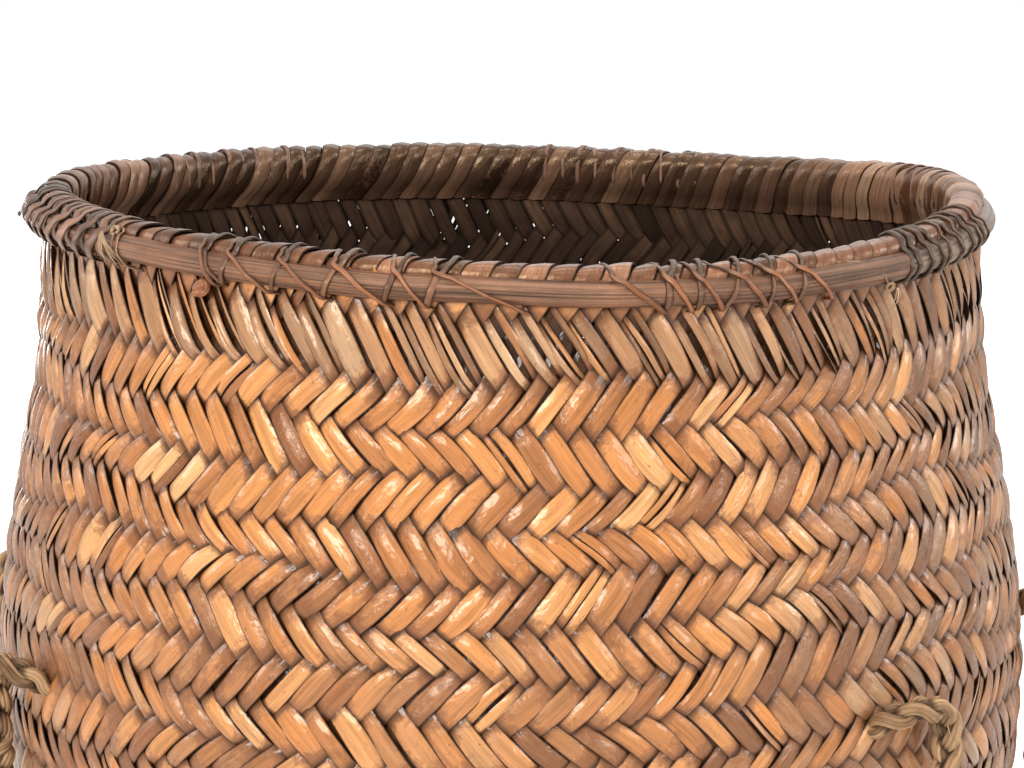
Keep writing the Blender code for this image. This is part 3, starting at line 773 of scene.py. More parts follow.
def knot_blocks(centre, aim, radius):
    """A simple overhand knot of the same rope, as a short trefoil of fibres."""
    side = unit(np.cross(aim, (0, 0, 1)))
    up = np.cross(side, aim)
    turn = np.linspace(0, math.tau, 60)
    across = np.sin(turn) + 2 * np.sin(2 * turn)
    upward = np.cos(turn) - 2 * np.cos(2 * turn)
    core = np.stack((across, upward, -np.sin(3 * turn)), axis=1) / 3 * (radius - 0.0035)
    line = centre + core[:, :1] * side + core[:, 1:2] * up + core[:, 2:] * aim * 0.9
    blocks = [fibre_block(line, KNOT_CORE, 8, 0.3)]
    out = unit(line - centre - aim * ((line - centre) @ aim)[:, None] * 0.5 + 1e-6)
    other = np.cross(directions_along(line), out)
    for fibre in range(KNOT_FIBRES):
        angle = turn * 6 + math.tau * fibre / KNOT_FIBRES
        wound = line + out * (KNOT_CORE * np.cos(angle))[:, None]
        wound = wound + other * (KNOT_CORE * np.sin(angle))[:, None]
        blocks.append(fibre_block(wound, 0.0011, 6, draw(0.2, 0.9)))
    return blocks


def stray_fibre(route):
    """A loose end of straw that stands a little away from the rope."""
    fine = resample(route, 0.002)
    index = random.integers(6, len(fine) - 14)
    ahead = unit(fine[index + 3] - fine[index])
    away = unit(np.cross(ahead, random.normal(size=3)))
    reach = draw(0.006, 0.013)
    share = np.linspace(0, 1, 7)[:, None]
    line = fine[index] + away * ROPE_RADIUS * 0.7 + ahead * reach * share
    line = line + away * (0.0028 * share**2)
    return fibre_block(line, np.linspace(0.0004, 0.00012, 7), 4, draw(0.3, 1.0))


def add_handle(side, middle):
    """One rope from the knot inside the wall, down and up the loop, to the other knot."""
    origin, along, outwards = handle_axes(middle)
    basis = np.stack((along, outwards, (0, 0, 1)))
    ends = {direction: end_route(direction) for direction in (1, -1)}
    route = origin + np.vstack((ends[1], loop_route(), ends[-1][::-1])) @ basis
    blocks = braid_blocks(route) + [stray_fibre(route) for _ in range(STRAY_FIBRES)]
    rope = sections_mesh(f"{side}_braided_rope", blocks, ROPE)
    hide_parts(f"{side}_rope_handle", f"{side}_front_rope_end", f"{side}_rear_rope_end")
    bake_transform(rope)
    for direction, letter in ((1, "a"), (-1, "b")):
        inner, outer = origin + ends[direction][:2] @ basis
        aim = unit(outer - inner)
        blocks = knot_blocks(inner - aim * 0.0035, aim, KNOT_RADIUS)
        add_piece(f"{side}_rope_knot_{letter}", blocks, ROPE)


add_handle("right", RIGHT_MIDDLE)
add_handle("left", LEFT_MIDDLE)


# The plaited wall

SAMPLES = 3
STRIP_SHARE = (0.90, 1.08)
SPLIT_SHARE = 0.05
TOP_SPLIT_SHARE = 0.45
AMPLITUDE = 0.00135
CROWN = 0.00078
STRIP_SPAN = 0.0035
SETTLE_HEIGHT = 0.020
THICKNESS = 0.00070
# How much each thing varies from one float to the next
WIDTH_SCATTER = 0.07
PLACE_SCATTER = 0.035
LIFT_SCATTER = 0.16
TILT_SCATTER = 0.00042
CROWN_SCATTER = 0.2
KHAKI_SCATTER = 0.35
# A strip's own tone, how much strips and their rows differ in it, and what brown skin and painted
# shade take from it
TONE = 0.50
TONE_SCATTER = 0.17
ROW_TONE = 0.26
SKIN_AND_SHADE_TONE = 0.12
# How much narrower a strip may be in the loose top row, in front and behind
FRONT_SLACK = 0.20
REAR_SLACK = 0.07
# Where the whole strip ends below its split top, and where the split top begins
WHOLE_END = -0.12
SPLIT_START = -0.5
# The points across a strip's outer face, as shares of its half width, and those of its underside
SECTION = np.array((-1.0, -0.62, 0.0, 0.62, 1.0))
UNDERSIDE = (4, 2, 0)
ALL_ROUND = np.concatenate((SECTION, SECTION[list(UNDERSIDE)]))


def float_height(level):
    """The wave of the strips that rise to the right: positive where they lie outside."""
    height = -np.sin(math.pi * level / ROW)
    return np.sign(height) * np.abs(height) ** 0.64


def strip_points(base, normal, lift, tilt, crown, edge_drop):
    """The eight points of each section: five outside, then three inside."""
    middle = 1 - SECTION**2
    lean = lift[:, None] + tilt[:, None] * SECTION
    top = lean + THICKNESS / 2 + crown * middle - edge_drop * (1 - middle)
    outer = base + normal * top[..., None]
    inner = base + normal * (lean - THICKNESS / 2)[..., None]
    return np.concatenate((outer, inner[:, UNDERSIDE]), axis=1)


def strip_facts(points, marks, width, seed, tone, khaki_and_shade, cover, skin_and_shade=0.0):
    """The shading facts of one strip: its lay, its tone, and how far its face is covered."""
    facts = {"lay": lay_of(points, marks, ALL_ROUND * width / 2, seed)}
    rows = {"side": 1.0, "tone": tone, "khaki_and_shade": khaki_and_shade, "cover": cover, "skin_and_shade": skin_and_shade}
    for key, values in rows.items():
        spread = np.abs(ALL_ROUND) if key == "side" else np.ones(len(ALL_ROUND))
        facts[key] = np.broadcast_to(values, len(marks))[:, None] * spread
    return facts


def per_float(level, scatter):
    """A value for each float along a strip, which changes smoothly from one to the next."""
    rows = np.arange(math.floor(LEVEL_BASE / ROW) - 2, 4)
    values = random.normal(0, scatter, len(rows))
    return np.interp(level / ROW - 0.5, rows, values)


def browner(azimuth, level):
    """How brown the strips are made: partly the brown skin that is left, partly painted shade where
    the light falls off to the right and the far left. More on the right, the far left and low down.
    """
    turned = np.degrees(np.angle(np.exp(1j * azimuth)))
    right = smooth_step((turned - 12) / 38) * (1 - 0.6 * smooth_step((turned - 100) / 50))
    left = 0.55 * smooth_step((-turned - 38) / 30)
    low = 0.45 * smooth_step((-level - 4) / 6) + 0.30 * smooth_step((level + 1.0) / 1.2)
    return np.clip(right + left + low, 0, 1)


def is_behind(number):
    """Whether a strip's place at level 0 is on the basket's rear half."""
    return math.cos(float(strip_azimuth(number))) < -0.1


def strip_block(number, direction, width, part=(-1.0, 1.0), loose=0.0, levels=None):
    """One strip, from the flat base to the rim. Direction is 1 where it rises to the right.

    The part is what it keeps of its width where it has split. It runs between the levels.
    """
    first, last = levels or (LEVEL_BASE, LEVEL_TOP)
    level = np.linspace(first, last, int((last - first) * 2 * SAMPLES) + 1)
    top_row = smooth_step((level + 0.3) / 0.6) * (direction == -1)
    half_share = (part[1] - part[0]) / 2
    shares = part[0] + half_share * (SECTION + 1)
    narrow = 1 + per_float(level, WIDTH_SCATTER)
    narrow = narrow * (0.955 + 0.085 * np.abs(np.sin(math.pi * level / ROW)))
    slack = draw(0.02, REAR_SLACK if is_behind(number) else FRONT_SLACK)
    narrow = narrow * (1 - top_row * slack * (1 - 0.5 * level / ROW))
    offset = shares * (width / 2 * narrow)[:, None]
    offset = offset + (per_float(level, PLACE_SCATTER) + loose * top_row * 0.12)[:, None]
    start = number if direction == 1 else number + 0.5
    azimuth = strip_azimuth(start + direction * level[:, None] + offset / 2)
    length = level_length(level[:, None] - direction * offset / 2, azimuth)
    point, normal = wall_frame(azimuth, np.clip(length, 0, MERIDIAN[-1]))
    height = float_height(level)
    settled = 1 - 0.65 * smooth_step((SETTLE_HEIGHT - point[:, 2, 2]) / SETTLE_HEIGHT)
    lift = direction * height * AMPLITUDE * (1 + per_float(level, LIFT_SCATTER)) * settled
    lift = lift + top_row * abs(loose) * 0.0010 * np.sin(np.clip(level / ROW, 0, 1) * math.pi)
    tilt = per_float(level, TILT_SCATTER) + top_row * loose * 0.0006
    crown = CROWN * half_share * draw(0.6, 1.35)
    crown = crown * (settled * (1 + per_float(level, CROWN_SCATTER)))[:, None]
    points = strip_points(point - normal * (WALL / 2), normal, lift, tilt, crown, THICKNESS * 0.3)
    rows = np.floor(level / ROW).astype(int)
    row_tone = draw(-ROW_TONE, ROW_TONE, rows.max() - rows.min() + 1)
    tone = random.normal(TONE, TONE_SCATTER) + row_tone[rows - rows.min()]
    # Partly brown skin, partly painted shade on the right and the far left
    skin_and_shade = browner(azimuth[:, 2], level)
    tone = np.clip(tone - SKIN_AND_SHADE_TONE * skin_and_shade, 0.02, 0.98)
    marks = lengths_along(point[:, 2]) + draw(0, 30)
    khaki_and_shade = top_row if direction == -1 else 0.2 * smooth_step((level - 1.2) / 0.4)
    khaki_and_shade = khaki_and_shade * (draw(0.6, 1.0) if draw() > 0.15 else 0.1)
    khaki_and_shade = np.maximum(khaki_and_shade, skin_and_shade * np.clip(0.45 + per_float(level, KHAKI_SCATTER), 0, 1))
    cover = np.clip(1 - direction * height, 0, 1)
    span = 2 * half_share * width * STRIP_SPAN
    seed = number * 0.37 + direction
    return points, strip_facts(points, marks, span, seed, tone, khaki_and_shade, cover, skin_and_shade)


def split_parts(pieces):
    """The parts of its width that a strip keeps where it has split, with gaps between them."""
    cuts = draw(-0.45, 0.45, 1) if pieces == 2 else np.array((-0.35, 0.3))
    lows = np.concatenate(([-1.0], cuts + draw(0.03, 0.12)))
    highs = np.concatenate((cuts - draw(0.03, 0.12), [1.0]))
    return list(zip(lows, highs))


def strip_blocks(number, direction):
    """A whole strip, or one that has split along its length or in the loose top row."""
    width = draw(*STRIP_SHARE)
    if draw() < SPLIT_SHARE:
        return [strip_block(number, direction, width, part) for part in split_parts(2)]
    if direction == 1 or draw() > TOP_SPLIT_SHARE * (0.25 if is_behind(number) else 1.0):
        return [strip_block(number, direction, width, loose=draw(-0.6, 0.6))]
    blocks = [strip_block(number, direction, width, levels=(LEVEL_BASE, WHOLE_END))]
    pieces = 3 if draw() < 0.3 else 2
    for part in split_parts(pieces):
        loose = draw(0.3, 1.0) * np.sign(sum(part) + 1e-6)
        levels = (SPLIT_START, LEVEL_TOP)
        blocks.append(strip_block(number, direction, width, part, loose, levels))
    return blocks


def add_plaiting(name, blocks, material):
    """A piece of the plaited body, with pith on the strips' undersides."""
    add_piece(name, blocks, material, "woven_body", True, PITH)


for part in range(3):
    numbers = range(part * STRIPS // 3, (part + 1) * STRIPS // 3)
    for name, direction in (("rising", 1), ("falling", -1)):
        blocks = [block for number in numbers for block in strip_blocks(number, direction)]
        add_plaiting(f"{name}_strips_{part + 1}", blocks, STRIP)


# The flat base, plaited of the same strips

BASE_PITCH = 0.00644
BASE_AMPLITUDE = 0.00055
BASE_REACH = 0.200
BASE_OVERLAP = 0.0062


def inside_base(point):
    """Whether points lie within the flat part of the base, a square with round corners."""
    half = TABLE_HALF[0] + BASE_OVERLAP
    corner = TABLE_CORNER[0]
    beyond = np.maximum(np.abs(point) - (half - corner), 0)
    return np.linalg.norm(beyond, axis=-1) < corner


def base_block(number, direction):
    """One strip across the base, or nothing where its line passes outside."""
    along = np.arange(-BASE_REACH, BASE_REACH, BASE_PITCH / 3)
    aim = np.array((1.0, direction)) / math.sqrt(2)
    aside = np.array((-direction, 1.0)) / math.sqrt(2)
    line = along[:, None] * aim + (number + 0.5) * BASE_PITCH * aside
    kept = inside_base(line)
    if kept.sum() < 4:
        return None
    line, along = line[kept], along[kept]
    height = direction * float_height((along / BASE_PITCH * direction + number + 0.5) / 2)
    width = BASE_PITCH * draw(*STRIP_SHARE)
    base = np.zeros((len(line), len(SECTION), 3))
    base[..., :2] = line[:, None] + (SECTION * width / 2)[:, None] * aside
    base[..., 2] = WALL / 2
    normal = np.zeros_like(base)
    normal[..., 2] = -1.0
    tone = np.clip(random.normal(0.4, 0.15), 0, 1)
    flat = np.zeros(len(line))
    points = strip_points(base, normal, height * BASE_AMPLITUDE, flat, CROWN * 0.4, 0.0002)
    cover = np.clip(1 - height, 0, 1)
    return points, strip_facts(points, along + number, width, number * 0.41, tone, 0.0, cover)


base_numbers = range(int(-BASE_REACH / BASE_PITCH), int(BASE_REACH / BASE_PITCH))
base_blocks = [base_block(number, direction) for direction in (1, -1) for number in base_numbers]
add_plaiting("base_strips", [block for block in base_blocks if block], STRIP)


# The rim: strip ends folded over the inner hoop, and two lengths of outer hoop

# The folded ends' section, as distances from the axis and drops from the rim
FOLD_PATH = (
    ((0.1873, -0.0120), (0.1876, -0.0045), (0.1873, -0.0014), (0.1858, -0.0001), (0.1828, 0.0004))
    + ((0.1796, -0.0001), (0.1777, -0.0017), (0.1769, -0.0045), (0.1769, -0.0095))
    + ((0.1775, -0.0128), (0.1792, -0.0162), (0.1815, -0.0196), (0.1832, -0.0235))
)
FOLD_STEP = 0.0014
FOLD_LINE = resample(FOLD_PATH, FOLD_STEP)
FOLD_MARKS = lengths_along(FOLD_LINE)
FOLD_AHEAD = directions_along(FOLD_LINE)
FOLD_OUTWARD = np.stack((FOLD_AHEAD[:, 1], -FOLD_AHEAD[:, 0]), axis=1)
FOLD_LEAN = 0.53
# The degrees between which the rim has no folded ends, so the inner hoop shows between the wraps
BARE_START = -88
BARE_END = -48


def fold_block(number):
    """The end of one rising strip, folded over the rim and down the inside."""
    start = float(strip_azimuth(number + 2.0))
    turned = abs(math.degrees(math.remainder(start, math.tau)))
    away = smooth_step((turned - 60) / 25)
    right = smooth_step(math.sin(start) / 0.3)
    width = math.tau / STRIPS * RIM_RADIUS * (draw(1.00, 1.14) - 0.08 * max(away, right))
    lift = draw(-0.0003, 0.0006 + 0.0002 * away)
    tilt = draw(0.00030, 0.00065) * (1 - 0.7 * away)
    crown = 0.0004 + 0.0006 * away
    middle = start + FOLD_MARKS * FOLD_LEAN / RIM_RADIUS
    azimuth = middle[:, None] + SECTION * width / 2 / RIM_RADIUS
    rise = lift + crown * (1 - SECTION**2) + tilt * SECTION
    rise = rise + 0.00015 * np.sin(FOLD_MARKS * 260 + draw(0, 6))[:, None]

    def ring(height):
        radius = FOLD_LINE[:, :1] + FOLD_OUTWARD[:, :1] * height
        return place(azimuth, radius, HEIGHT + FOLD_LINE[:, 1:] + FOLD_OUTWARD[:, 1:] * height)

    inner = ring(rise - THICKNESS / 2)[:, UNDERSIDE]
    points = np.concatenate((ring(rise + THICKNESS / 2), inner), axis=1)
    at_end = 78 < turned < 122
    if at_end:
        tone = random.choice((0.30, 0.55, 0.85, 1.0))
    else:
        tone = np.clip(random.normal(0.42, 0.24), 0, 0.8)
    # Painted shade: the folds at the back and their parts down the inside take the darker tones, as
    # the basket's shade there
    behind = smooth_step((turned - 112) / 20)
    inside = smooth_step((FOLD_MARKS - 0.020) / 0.006) * (0.45 if at_end else 0.9)
    dark = np.clip(0.85 * behind + inside, 0, 1)
    return points, strip_facts(points, FOLD_MARKS + number, width, number * 0.3, tone, dark, 0.0)


def is_bare(azimuth):
    """Whether the rim has no folded ends at an azimuth."""
    return BARE_START < (math.degrees(azimuth) + 180) % 360 - 180 < BARE_END


fold_numbers = [n for n in range(STRIPS) if not is_bare(float(strip_azimuth(n + 3.2)))]
add_plaiting("folded_strip_ends", [fold_block(number) for number in fold_numbers], FOLD)

HOOP_POINTS = 14
HOOP_STEP = 0.9
OUTER_BACK = RIM_RADIUS + 0.0003
OUTER_MIDDLE = HEIGHT - CANE_DROP - CANE_HEIGHT / 2
INNER_BACK = RIM_RADIUS - WALL - 0.0003
INNER_MIDDLE = HEIGHT - 0.0016 - INNER_CANE_HEIGHT / 2
# In degrees: the front hoop's ends, how far the hoops lap, and the inner hoop's ends
FRONT_START = -84.4
FRONT_END = 49.5
LAP = 22.5
INNER_START = -84.4
INNER_END = 298
# How far the front hoop stands off where it laps over the rear one, which is thin at its ends
LAP_INSET = 0.0042
LAP_THICKNESS = 0.0016


def hoop_block(angles, back, thickness, middle, height, side, seed):
    """A half-round cane: back is its flat face's distance from the axis, side 1 is outwards."""
    turn = np.linspace(-math.pi / 2, math.pi / 2, HOOP_POINTS)
    azimuth = np.radians(angles)
    wobble = 0.00022 * (np.sin(azimuth * 9 + seed) + np.sin(azimuth * 17 + 2 * seed))
    radius = back + side * (np.reshape(thickness, (-1, 1)) * np.cos(turn) ** 0.8)
    radius = radius + side * wobble[:, None] * np.cos(turn)
    level = middle + wobble[:, None] + np.reshape(height, (-1, 1)) / 2 * np.sin(turn)
    points = place(azimuth[:, None], radius, level)
    return points, {"lay": lay_of(points, azimuth * RIM_RADIUS, turn * CANE_HEIGHT / 2, seed)}


def round_end(angles, first, last, reach):
    """Shares that close a cane's ends roundly within a reach of angle."""
    share = np.minimum((angles - first) / reach, (last - angles) / reach)
    return np.sqrt(np.clip(1 - (1 - np.clip(share, 0, 1)) ** 2, 0.02, 1))


angles = np.arange(FRONT_START, FRONT_END - 2.2, 0.8)
angles = np.concatenate((angles, np.linspace(FRONT_END - 2, FRONT_END, 9)))
inset = smooth_step((angles - FRONT_END + LAP) / LAP) + smooth_step((FRONT_START + LAP - angles) / LAP)
inset = LAP_INSET * inset
closing = round_end(angles, FRONT_START, FRONT_END, 1.6)
back = OUTER_BACK + inset[:, None] * 0.55
thickness = (CANE_THICKNESS - inset * 0.45) * closing
middle = OUTER_MIDDLE + 0.0004
front_hoop = hoop_block(angles, back, thickness, middle, CANE_HEIGHT * closing, 1, 1.3)
angles = np.arange(FRONT_END - LAP, FRONT_START + LAP + 360, HOOP_STEP)
share = np.minimum(smooth_step((angles - angles[0]) / LAP), smooth_step((angles[-1] - angles) / LAP))
thickness = LAP_THICKNESS + (CANE_THICKNESS - LAP_THICKNESS) * share
height = CANE_HEIGHT * (0.75 + 0.25 * share)
rear_hoop = hoop_block(angles, OUTER_BACK, thickness, OUTER_MIDDLE - 0.0006, height, 1, 2.6)
angles = np.arange(INNER_START, INNER_END, HOOP_STEP)
inner_size = (INNER_CANE_THICKNESS, INNER_MIDDLE, INNER_CANE_HEIGHT)
inner_hoop = hoop_block(angles, INNER_BACK, *inner_size, -1, 4.1)
for name, node, slot, material, block in (
    ("outer_cane_front", "outer_hoop_front", "split_cane", OUTER_CANE, front_hoop),
    ("outer_cane_rear", "outer_hoop_rear", "split_cane", GREY_CANE, rear_hoop),
    ("inner_cane", "inner_hoop", "pale_cane", PALE_CANE, inner_hoop),
):
    add_piece(name, [block], material, node, True)


# The lashings, wound round the rim. A station is an azimuth, a place round the section and a lift.

# The rim's section at each place round it, as distances from the axis and drops
OUTLINE_RADII = np.array(
    (0.1880, 0.1916, 0.1942, 0.1917, 0.1886, 0.1873, 0.1826, 0.1778, 0.1765, 0.1765, 0.1820)
)
OUTLINE_DROPS = np.array(
    (-0.0138, -0.0129, -0.0085, -0.0041, -0.0030, -0.0004, 0.0010, -0.0004, -0.0050, -0.0130, -0.0170)
)
OUTLINE_MIDDLE = (0.1852, -0.0066)
STRAND_STEP = 0.09
STRAND_AROUND = 10
# Thin strands of vine: their widths where they fall and rise, and their thickness
FALLING_WIDTHS = (0.0016, 0.0022)
LONG_TAIL_WIDTH = 0.0015
RISING_WIDTHS = (0.0020, 0.0028)
VINE_THICKNESS = 0.0011


def outline_point(station):
    """Distances from the axis, drops and outward directions at places round the rim's section."""
    count = len(OUTLINE_RADII)
    index = np.arange(-2, count + 3)
    places = np.mod(station, count)
    radius = np.interp(places, index, OUTLINE_RADII[index % count])
    drop = np.interp(places, index, OUTLINE_DROPS[index % count])
    away = np.stack((radius - OUTLINE_MIDDLE[0], drop - OUTLINE_MIDDLE[1]), axis=1)
    return radius, drop, unit(away)


def strand_block(stations, width, thickness, tone, age):
    """A flat strand through its stations, given in degrees, places round the rim and millimetres.

    Its age has one value outside, on the hoop, and another on the rim's top and inside.
    """
    fine = resample(list(stations), STRAND_STEP)
    azimuth = np.radians(fine[:, 0])
    section = smoothed(np.column_stack(outline_point(fine[:, 1])), 7)
    radius, drop, away_out, away_up = section.T
    lift = fine[:, 2] * 0.001 + thickness / 2
    line = place(azimuth, radius + away_out * lift, HEIGHT + drop + away_up * lift)
    ahead = directions_along(line)
    side = unit(np.cross(ahead, unit(place(azimuth, away_out, away_up))))
    turn = np.linspace(0, math.tau, STRAND_AROUND, endpoint=False)
    ends = np.minimum(np.linspace(0, 1, len(line)), np.linspace(1, 0, len(line)))
    size = np.clip(ends / 0.02, 0.3, 1)
    waves = np.linspace(0, draw(9, 15), len(line)) + tone * 9
    size = size * (1 + 0.14 * np.sin(waves)) / 2
    points = rings_along(line, side, np.cross(side, ahead), size * width, size * thickness, turn)
    lay = lay_of(points, lengths_along(line) + tone * 7, np.cos(turn) * width / 2, tone)
    spread = np.ones(points.shape[:2])
    ages = age[0] + (age[1] - age[0]) * smooth_step((fine[:, 1] - 3.4) / 1.2)
    # The vine material paints the edges dark, as dirt and painted shade
    edge = np.abs(np.cos(turn)) * spread
    return points, {"lay": lay, "side": edge, "tone": spread * tone, "age": spread * ages[:, None]}


# How a strand goes: its degrees from the foot, the share of its climb, its degrees from the folds,
# its places round the section and its lifts. The falling one lies over the rising one.
RISING = (
    (-0.7, -0.2, 0.2),
    0.55,
    (0.0, 0.3, 0.6, 0.8, 0.9),
    (-1.0, 0.0, 1.0, 2.2, 3.6, 4.4, 5.4, 6.3, 7.2, 8.5, 9.6),
    (0.0, 0.0, 0.1, 0.0, 0.0, 0.3, 0.8, 0.9, 0.3, 0.0, 0.0),
)
FALLING = (
    (0.9, 0.5, 0.0),
    0.48,
    (0.0, -0.3, -0.7, -0.8),
    (-1.2, 0.0, 1.0, 2.2, 3.6, 4.4, 5.4, 6.4, 7.5, 9.0),
    (0.0, 0.2, 0.9, 0.4, 1.5, 0.9, 0.0, 0.0, 0.0, 0.0),
)


def crossing_strand(way, low, high, band, width, thickness, tone, age):
    """A strand between the hoop's lower edge, its top and the folds, and back through the wall."""
    starts, climb, ends, places, lifts = way
    angles = [low + start for start in starts]
    angles += [low + climb * (high - low), high, high + 0.4 * (band - high)]
    angles += [band + end for end in ends]
    return strand_block(zip(angles, places, lifts), width, thickness, tone, age)


def crossing_blocks(crossings):
    """A falling and a rising strand at each crossing. One without a foot has no rising strand."""
    blocks = []
    for head, low, foot, band in crossings:
        steep = band < head - 0.8
        width = LONG_TAIL_WIDTH if low - head > 6 else draw(*FALLING_WIDTHS)
        where = (low, head, band if steep else head - 0.4)
        look = (width, VINE_THICKNESS, draw(0.35, 0.9), (0.0, 0.75))
        blocks.append(crossing_strand(FALLING, *where, *look))
        if foot is not None:
            width = draw(*RISING_WIDTHS) * (0.7 if steep else 1.0)
            where = (foot, head + 0.3, head + 0.8 if steep else band + 0.5)
            look = (width, VINE_THICKNESS, draw(0.3, 0.8), (0.45, 1.0))
            blocks.append(crossing_strand(RISING, *where, *look))
    return blocks


def spaced_crossings(first, last, turns):
    pitch = (last - first) / turns
    heads = [first + pitch * (turn + draw(0.3, 0.6)) for turn in range(turns)]
    return [(head, head + pitch * 0.6, head - pitch * 0.25, head + 0.3) for head in heads]


def crossed_wraps(first, last, turns, width, thickness):
    """Flat strips that cross on the outside and lie side by side over the rim's top."""
    places = (-1.3, 0.0, 1.0, 2.2, 3.5, 4.4, 5.4, 6.4, 7.5, 9.3)
    lifts = (0.4, 1.0, 1.0, 1.0, 1.0, 0.7, 0.5, 0.5, 0.6, 0.4)
    blocks = []
    pitch = (last - first) / turns
    for turn in range(turns):
        head = first + pitch * (turn + draw(0.35, 0.65))
        lean = pitch * draw(0.45, 0.62)
        for way, lift in ((-1, 0.1), (1, 1.0)):
            top = head + way * pitch * draw(-0.12, 0.05)
            wide = width * draw(0.82, 1.12)
            angles = [head - way * lean * share for share in (1.5, 1.1, 0.85, 0.25)]
            angles += [top + way * lean * share for share in (0.25, 0.5, 0.62, 0.7, 0.85, 1.1)]
            stations = zip(angles, places, [lift * share for share in lifts])
            tone = draw(0.0, 1.0)
            blocks.append(strand_block(stations, wide, thickness, tone, (0.3, 0.6)))
    return blocks


def loose_wraps(turns, width, thickness):
    """Single turns of thin vine, each leaning its own way, in degrees at the hoop's top."""
    places = (-1.0, 0.0, 1.0, 2.2, 3.6, 4.4, 5.4, 6.4, 7.6, 9.4)
    leans = (-1.2, -0.9, -0.7, -0.3, 0.0, 0.3, 0.6, 0.8, 1.0, 1.1)
    lifts = (0.0, 0.1, 0.3, 0.3, 0.3, 0.3, 0.4, 0.3, 0.2, 0.0)
    blocks = []
    for head, lean, tone, share in turns:
        stations = zip([head + lean * part for part in leans], places, lifts)
        age = (0.9 - 0.5 * tone, 0.95 - 0.5 * tone)
        blocks.append(strand_block(stations, width * share, thickness * share, tone, age))
    return blocks


def stub_blocks(firsts):
    """Cut ends of vine that stand out from the hoop."""
    blocks = []
    for first in firsts:
        stations = (
            (first + 3.0, 1.2, 0.0),
            (first + 1.5, 1.5, 0.6),
            (first, 1.7, 2.2),
            (first - 1.2, 1.6, 4.6),
        )
        blocks.append(strand_block(stations, 0.0016, 0.0009, 0.1, (0.8, 0.8)))
    return blocks


def add_lashing(name, blocks, material=None):
    add_piece(f"{name}_strands", blocks, material or VINE, name)


# In degrees: where the falling strand meets the hoop's top and its lower edge, where the rising one
# meets its lower edge, and where both meet the folds
FRONT_LEFT = (
    (-34.3, -32.4, -31.8, -33.9),
    (-30.7, -25.8, -31.6, -30.4),
    (-24.4, -19.6, -25.5, -24.2),
    (-18.2, -13.0, -19.7, -17.5),
    (-11.9, -8.7, -13.1, -11.5),
    (-7.5, 1.2, -8.7, -6.5),
)
FRONT_RIGHT = (
    (10.6, 15.6, None, 10.0),
    (16.1, 18.7, 15.8, 17.0),
    (19.5, 22.1, 19.2, 19.9),
    (24.0, 27.2, 22.3, 21.6),
    (28.0, 31.0, 27.3, 26.4),
    (32.0, 35.7, 31.0, 30.6),
)
# Each turn: its place and its lean in degrees, its tone, and its share of the full width
RIGHT_SPLICE = (
    (52.0, 0.3, 0.25, 1.5),
    (54.0, -0.9, 0.15, 1.4),
    (56.6, 1.2, 0.5, 1.0),
    (58.9, -1.6, 0.3, 1.1),
    (60.2, 1.4, 0.6, 0.9),
    (62.9, 0.6, 0.2, 1.2),
    (65.2, -1.3, 0.5, 1.0),
    (67.3, 1.1, 0.3, 1.1),
    (69.4, -0.5, 0.6, 0.9),
)
# The rear lashings: where each begins and ends, in degrees, and its turns
REAR = (("rear_right", 96, 114, 6), ("rear", 150, 176, 5), ("rear_left", 212, 238, 5))
RIGHT_END = (47.6, 49.1)

add_lashing("front_left_lashing", crossing_blocks(FRONT_LEFT))
add_lashing("front_right_lashing", crossing_blocks(FRONT_RIGHT))
for name, *where in REAR:
    add_lashing(f"{name}_lashing", crossing_blocks(spaced_crossings(*where)), MAUVE_VINE)
look = (0.0027, 0.0016, 0.2, (0.9, 1.0))
turns = [crossing_strand(RISING, low, low + 0.6, low + 1.2, *look) for low in RIGHT_END]
add_lashing("right_end_lashing", turns)
add_lashing("right_splice_lashing", loose_wraps(RIGHT_SPLICE, 0.0017, 0.0013))
stubs = stub_blocks((-84.0, -86.5))
wraps = crossed_wraps(-84.3, -48.6, 10, 0.0043, 0.0009)
add_lashing("left_splice_wrap", wraps + stubs, MAUVE_VINE)


# The straw ties and the knot of vine below the hoop

TIE_PLACES = (5.2, 4.3, 3.6, 2.9, 2.2, 1.4, 0.6, 0.0, -0.8)
TIE_TOP = 4.2
TIE_REACH = 3.2
TAIL_RADIUS = 0.1935


def add_straw_tie(name, high, low, knot_place, tails, width, turns):
    """A straw round the outer hoop, with a frayed knot at a place round the rim."""
    blocks = []
    lean = (high - low) / TIE_REACH
    for turn in range(turns):
        stations = [
            (high + turn * 1.1 - lean * (TIE_TOP - level), level, 0.2 + 0.4 * turn - 0.9 * (level > 4))
            for level in TIE_PLACES
        ]
        blocks.append(strand_block(stations, width, width * 0.65, draw(0.3, 0.7), (0, 0)))
    azimuth = math.radians(high + lean * (knot_place - TIE_TOP))
    radius, drop, away = outline_point(np.array([knot_place]))
    lift = away[0] * 0.0015
    centre = place(azimuth, radius + lift[0], HEIGHT + drop + lift[1])[0]
    turn = np.linspace(0, math.tau * 2.6, 40)
    for loop in range(3):
        waves = (np.sin(turn + loop), np.sin(1.4 * turn + 2 * loop), np.cos(turn + 0.7 * loop))
        line = centre + 0.0013 * np.stack(waves, axis=1)
        blocks.append(fibre_block(line, 0.0006, 6, draw(0.3, 0.9)))
    share = np.linspace(0, 1, 9)
    for _ in range(tails):
        reach = draw(0.005, 0.013)
        swing = draw(-0.5, 0.9)
        stand = 0.0022 + 0.0012 * np.sin(share * math.pi * draw(0.5, 1.0))
        out = TAIL_RADIUS + stand - 0.003 * share**2
        line = place(azimuth + swing * reach * share / RIM_RADIUS, out, centre[2] - reach * share)
        size = np.linspace(1, 0.35, 9) * draw(0.00025, 0.0006)
        blocks.append(fibre_block(line, size, 5, draw(0.4, 1.0)))
    add_piece(f"{name}_strands", blocks, STRAW, name)


add_straw_tie("left_straw_tie", -48.6, -46.6, 3.9, 18, 0.0013, 2)
add_straw_tie("right_straw_tie", 39.0, 44.6, 0.9, 3, 0.0009, 1)

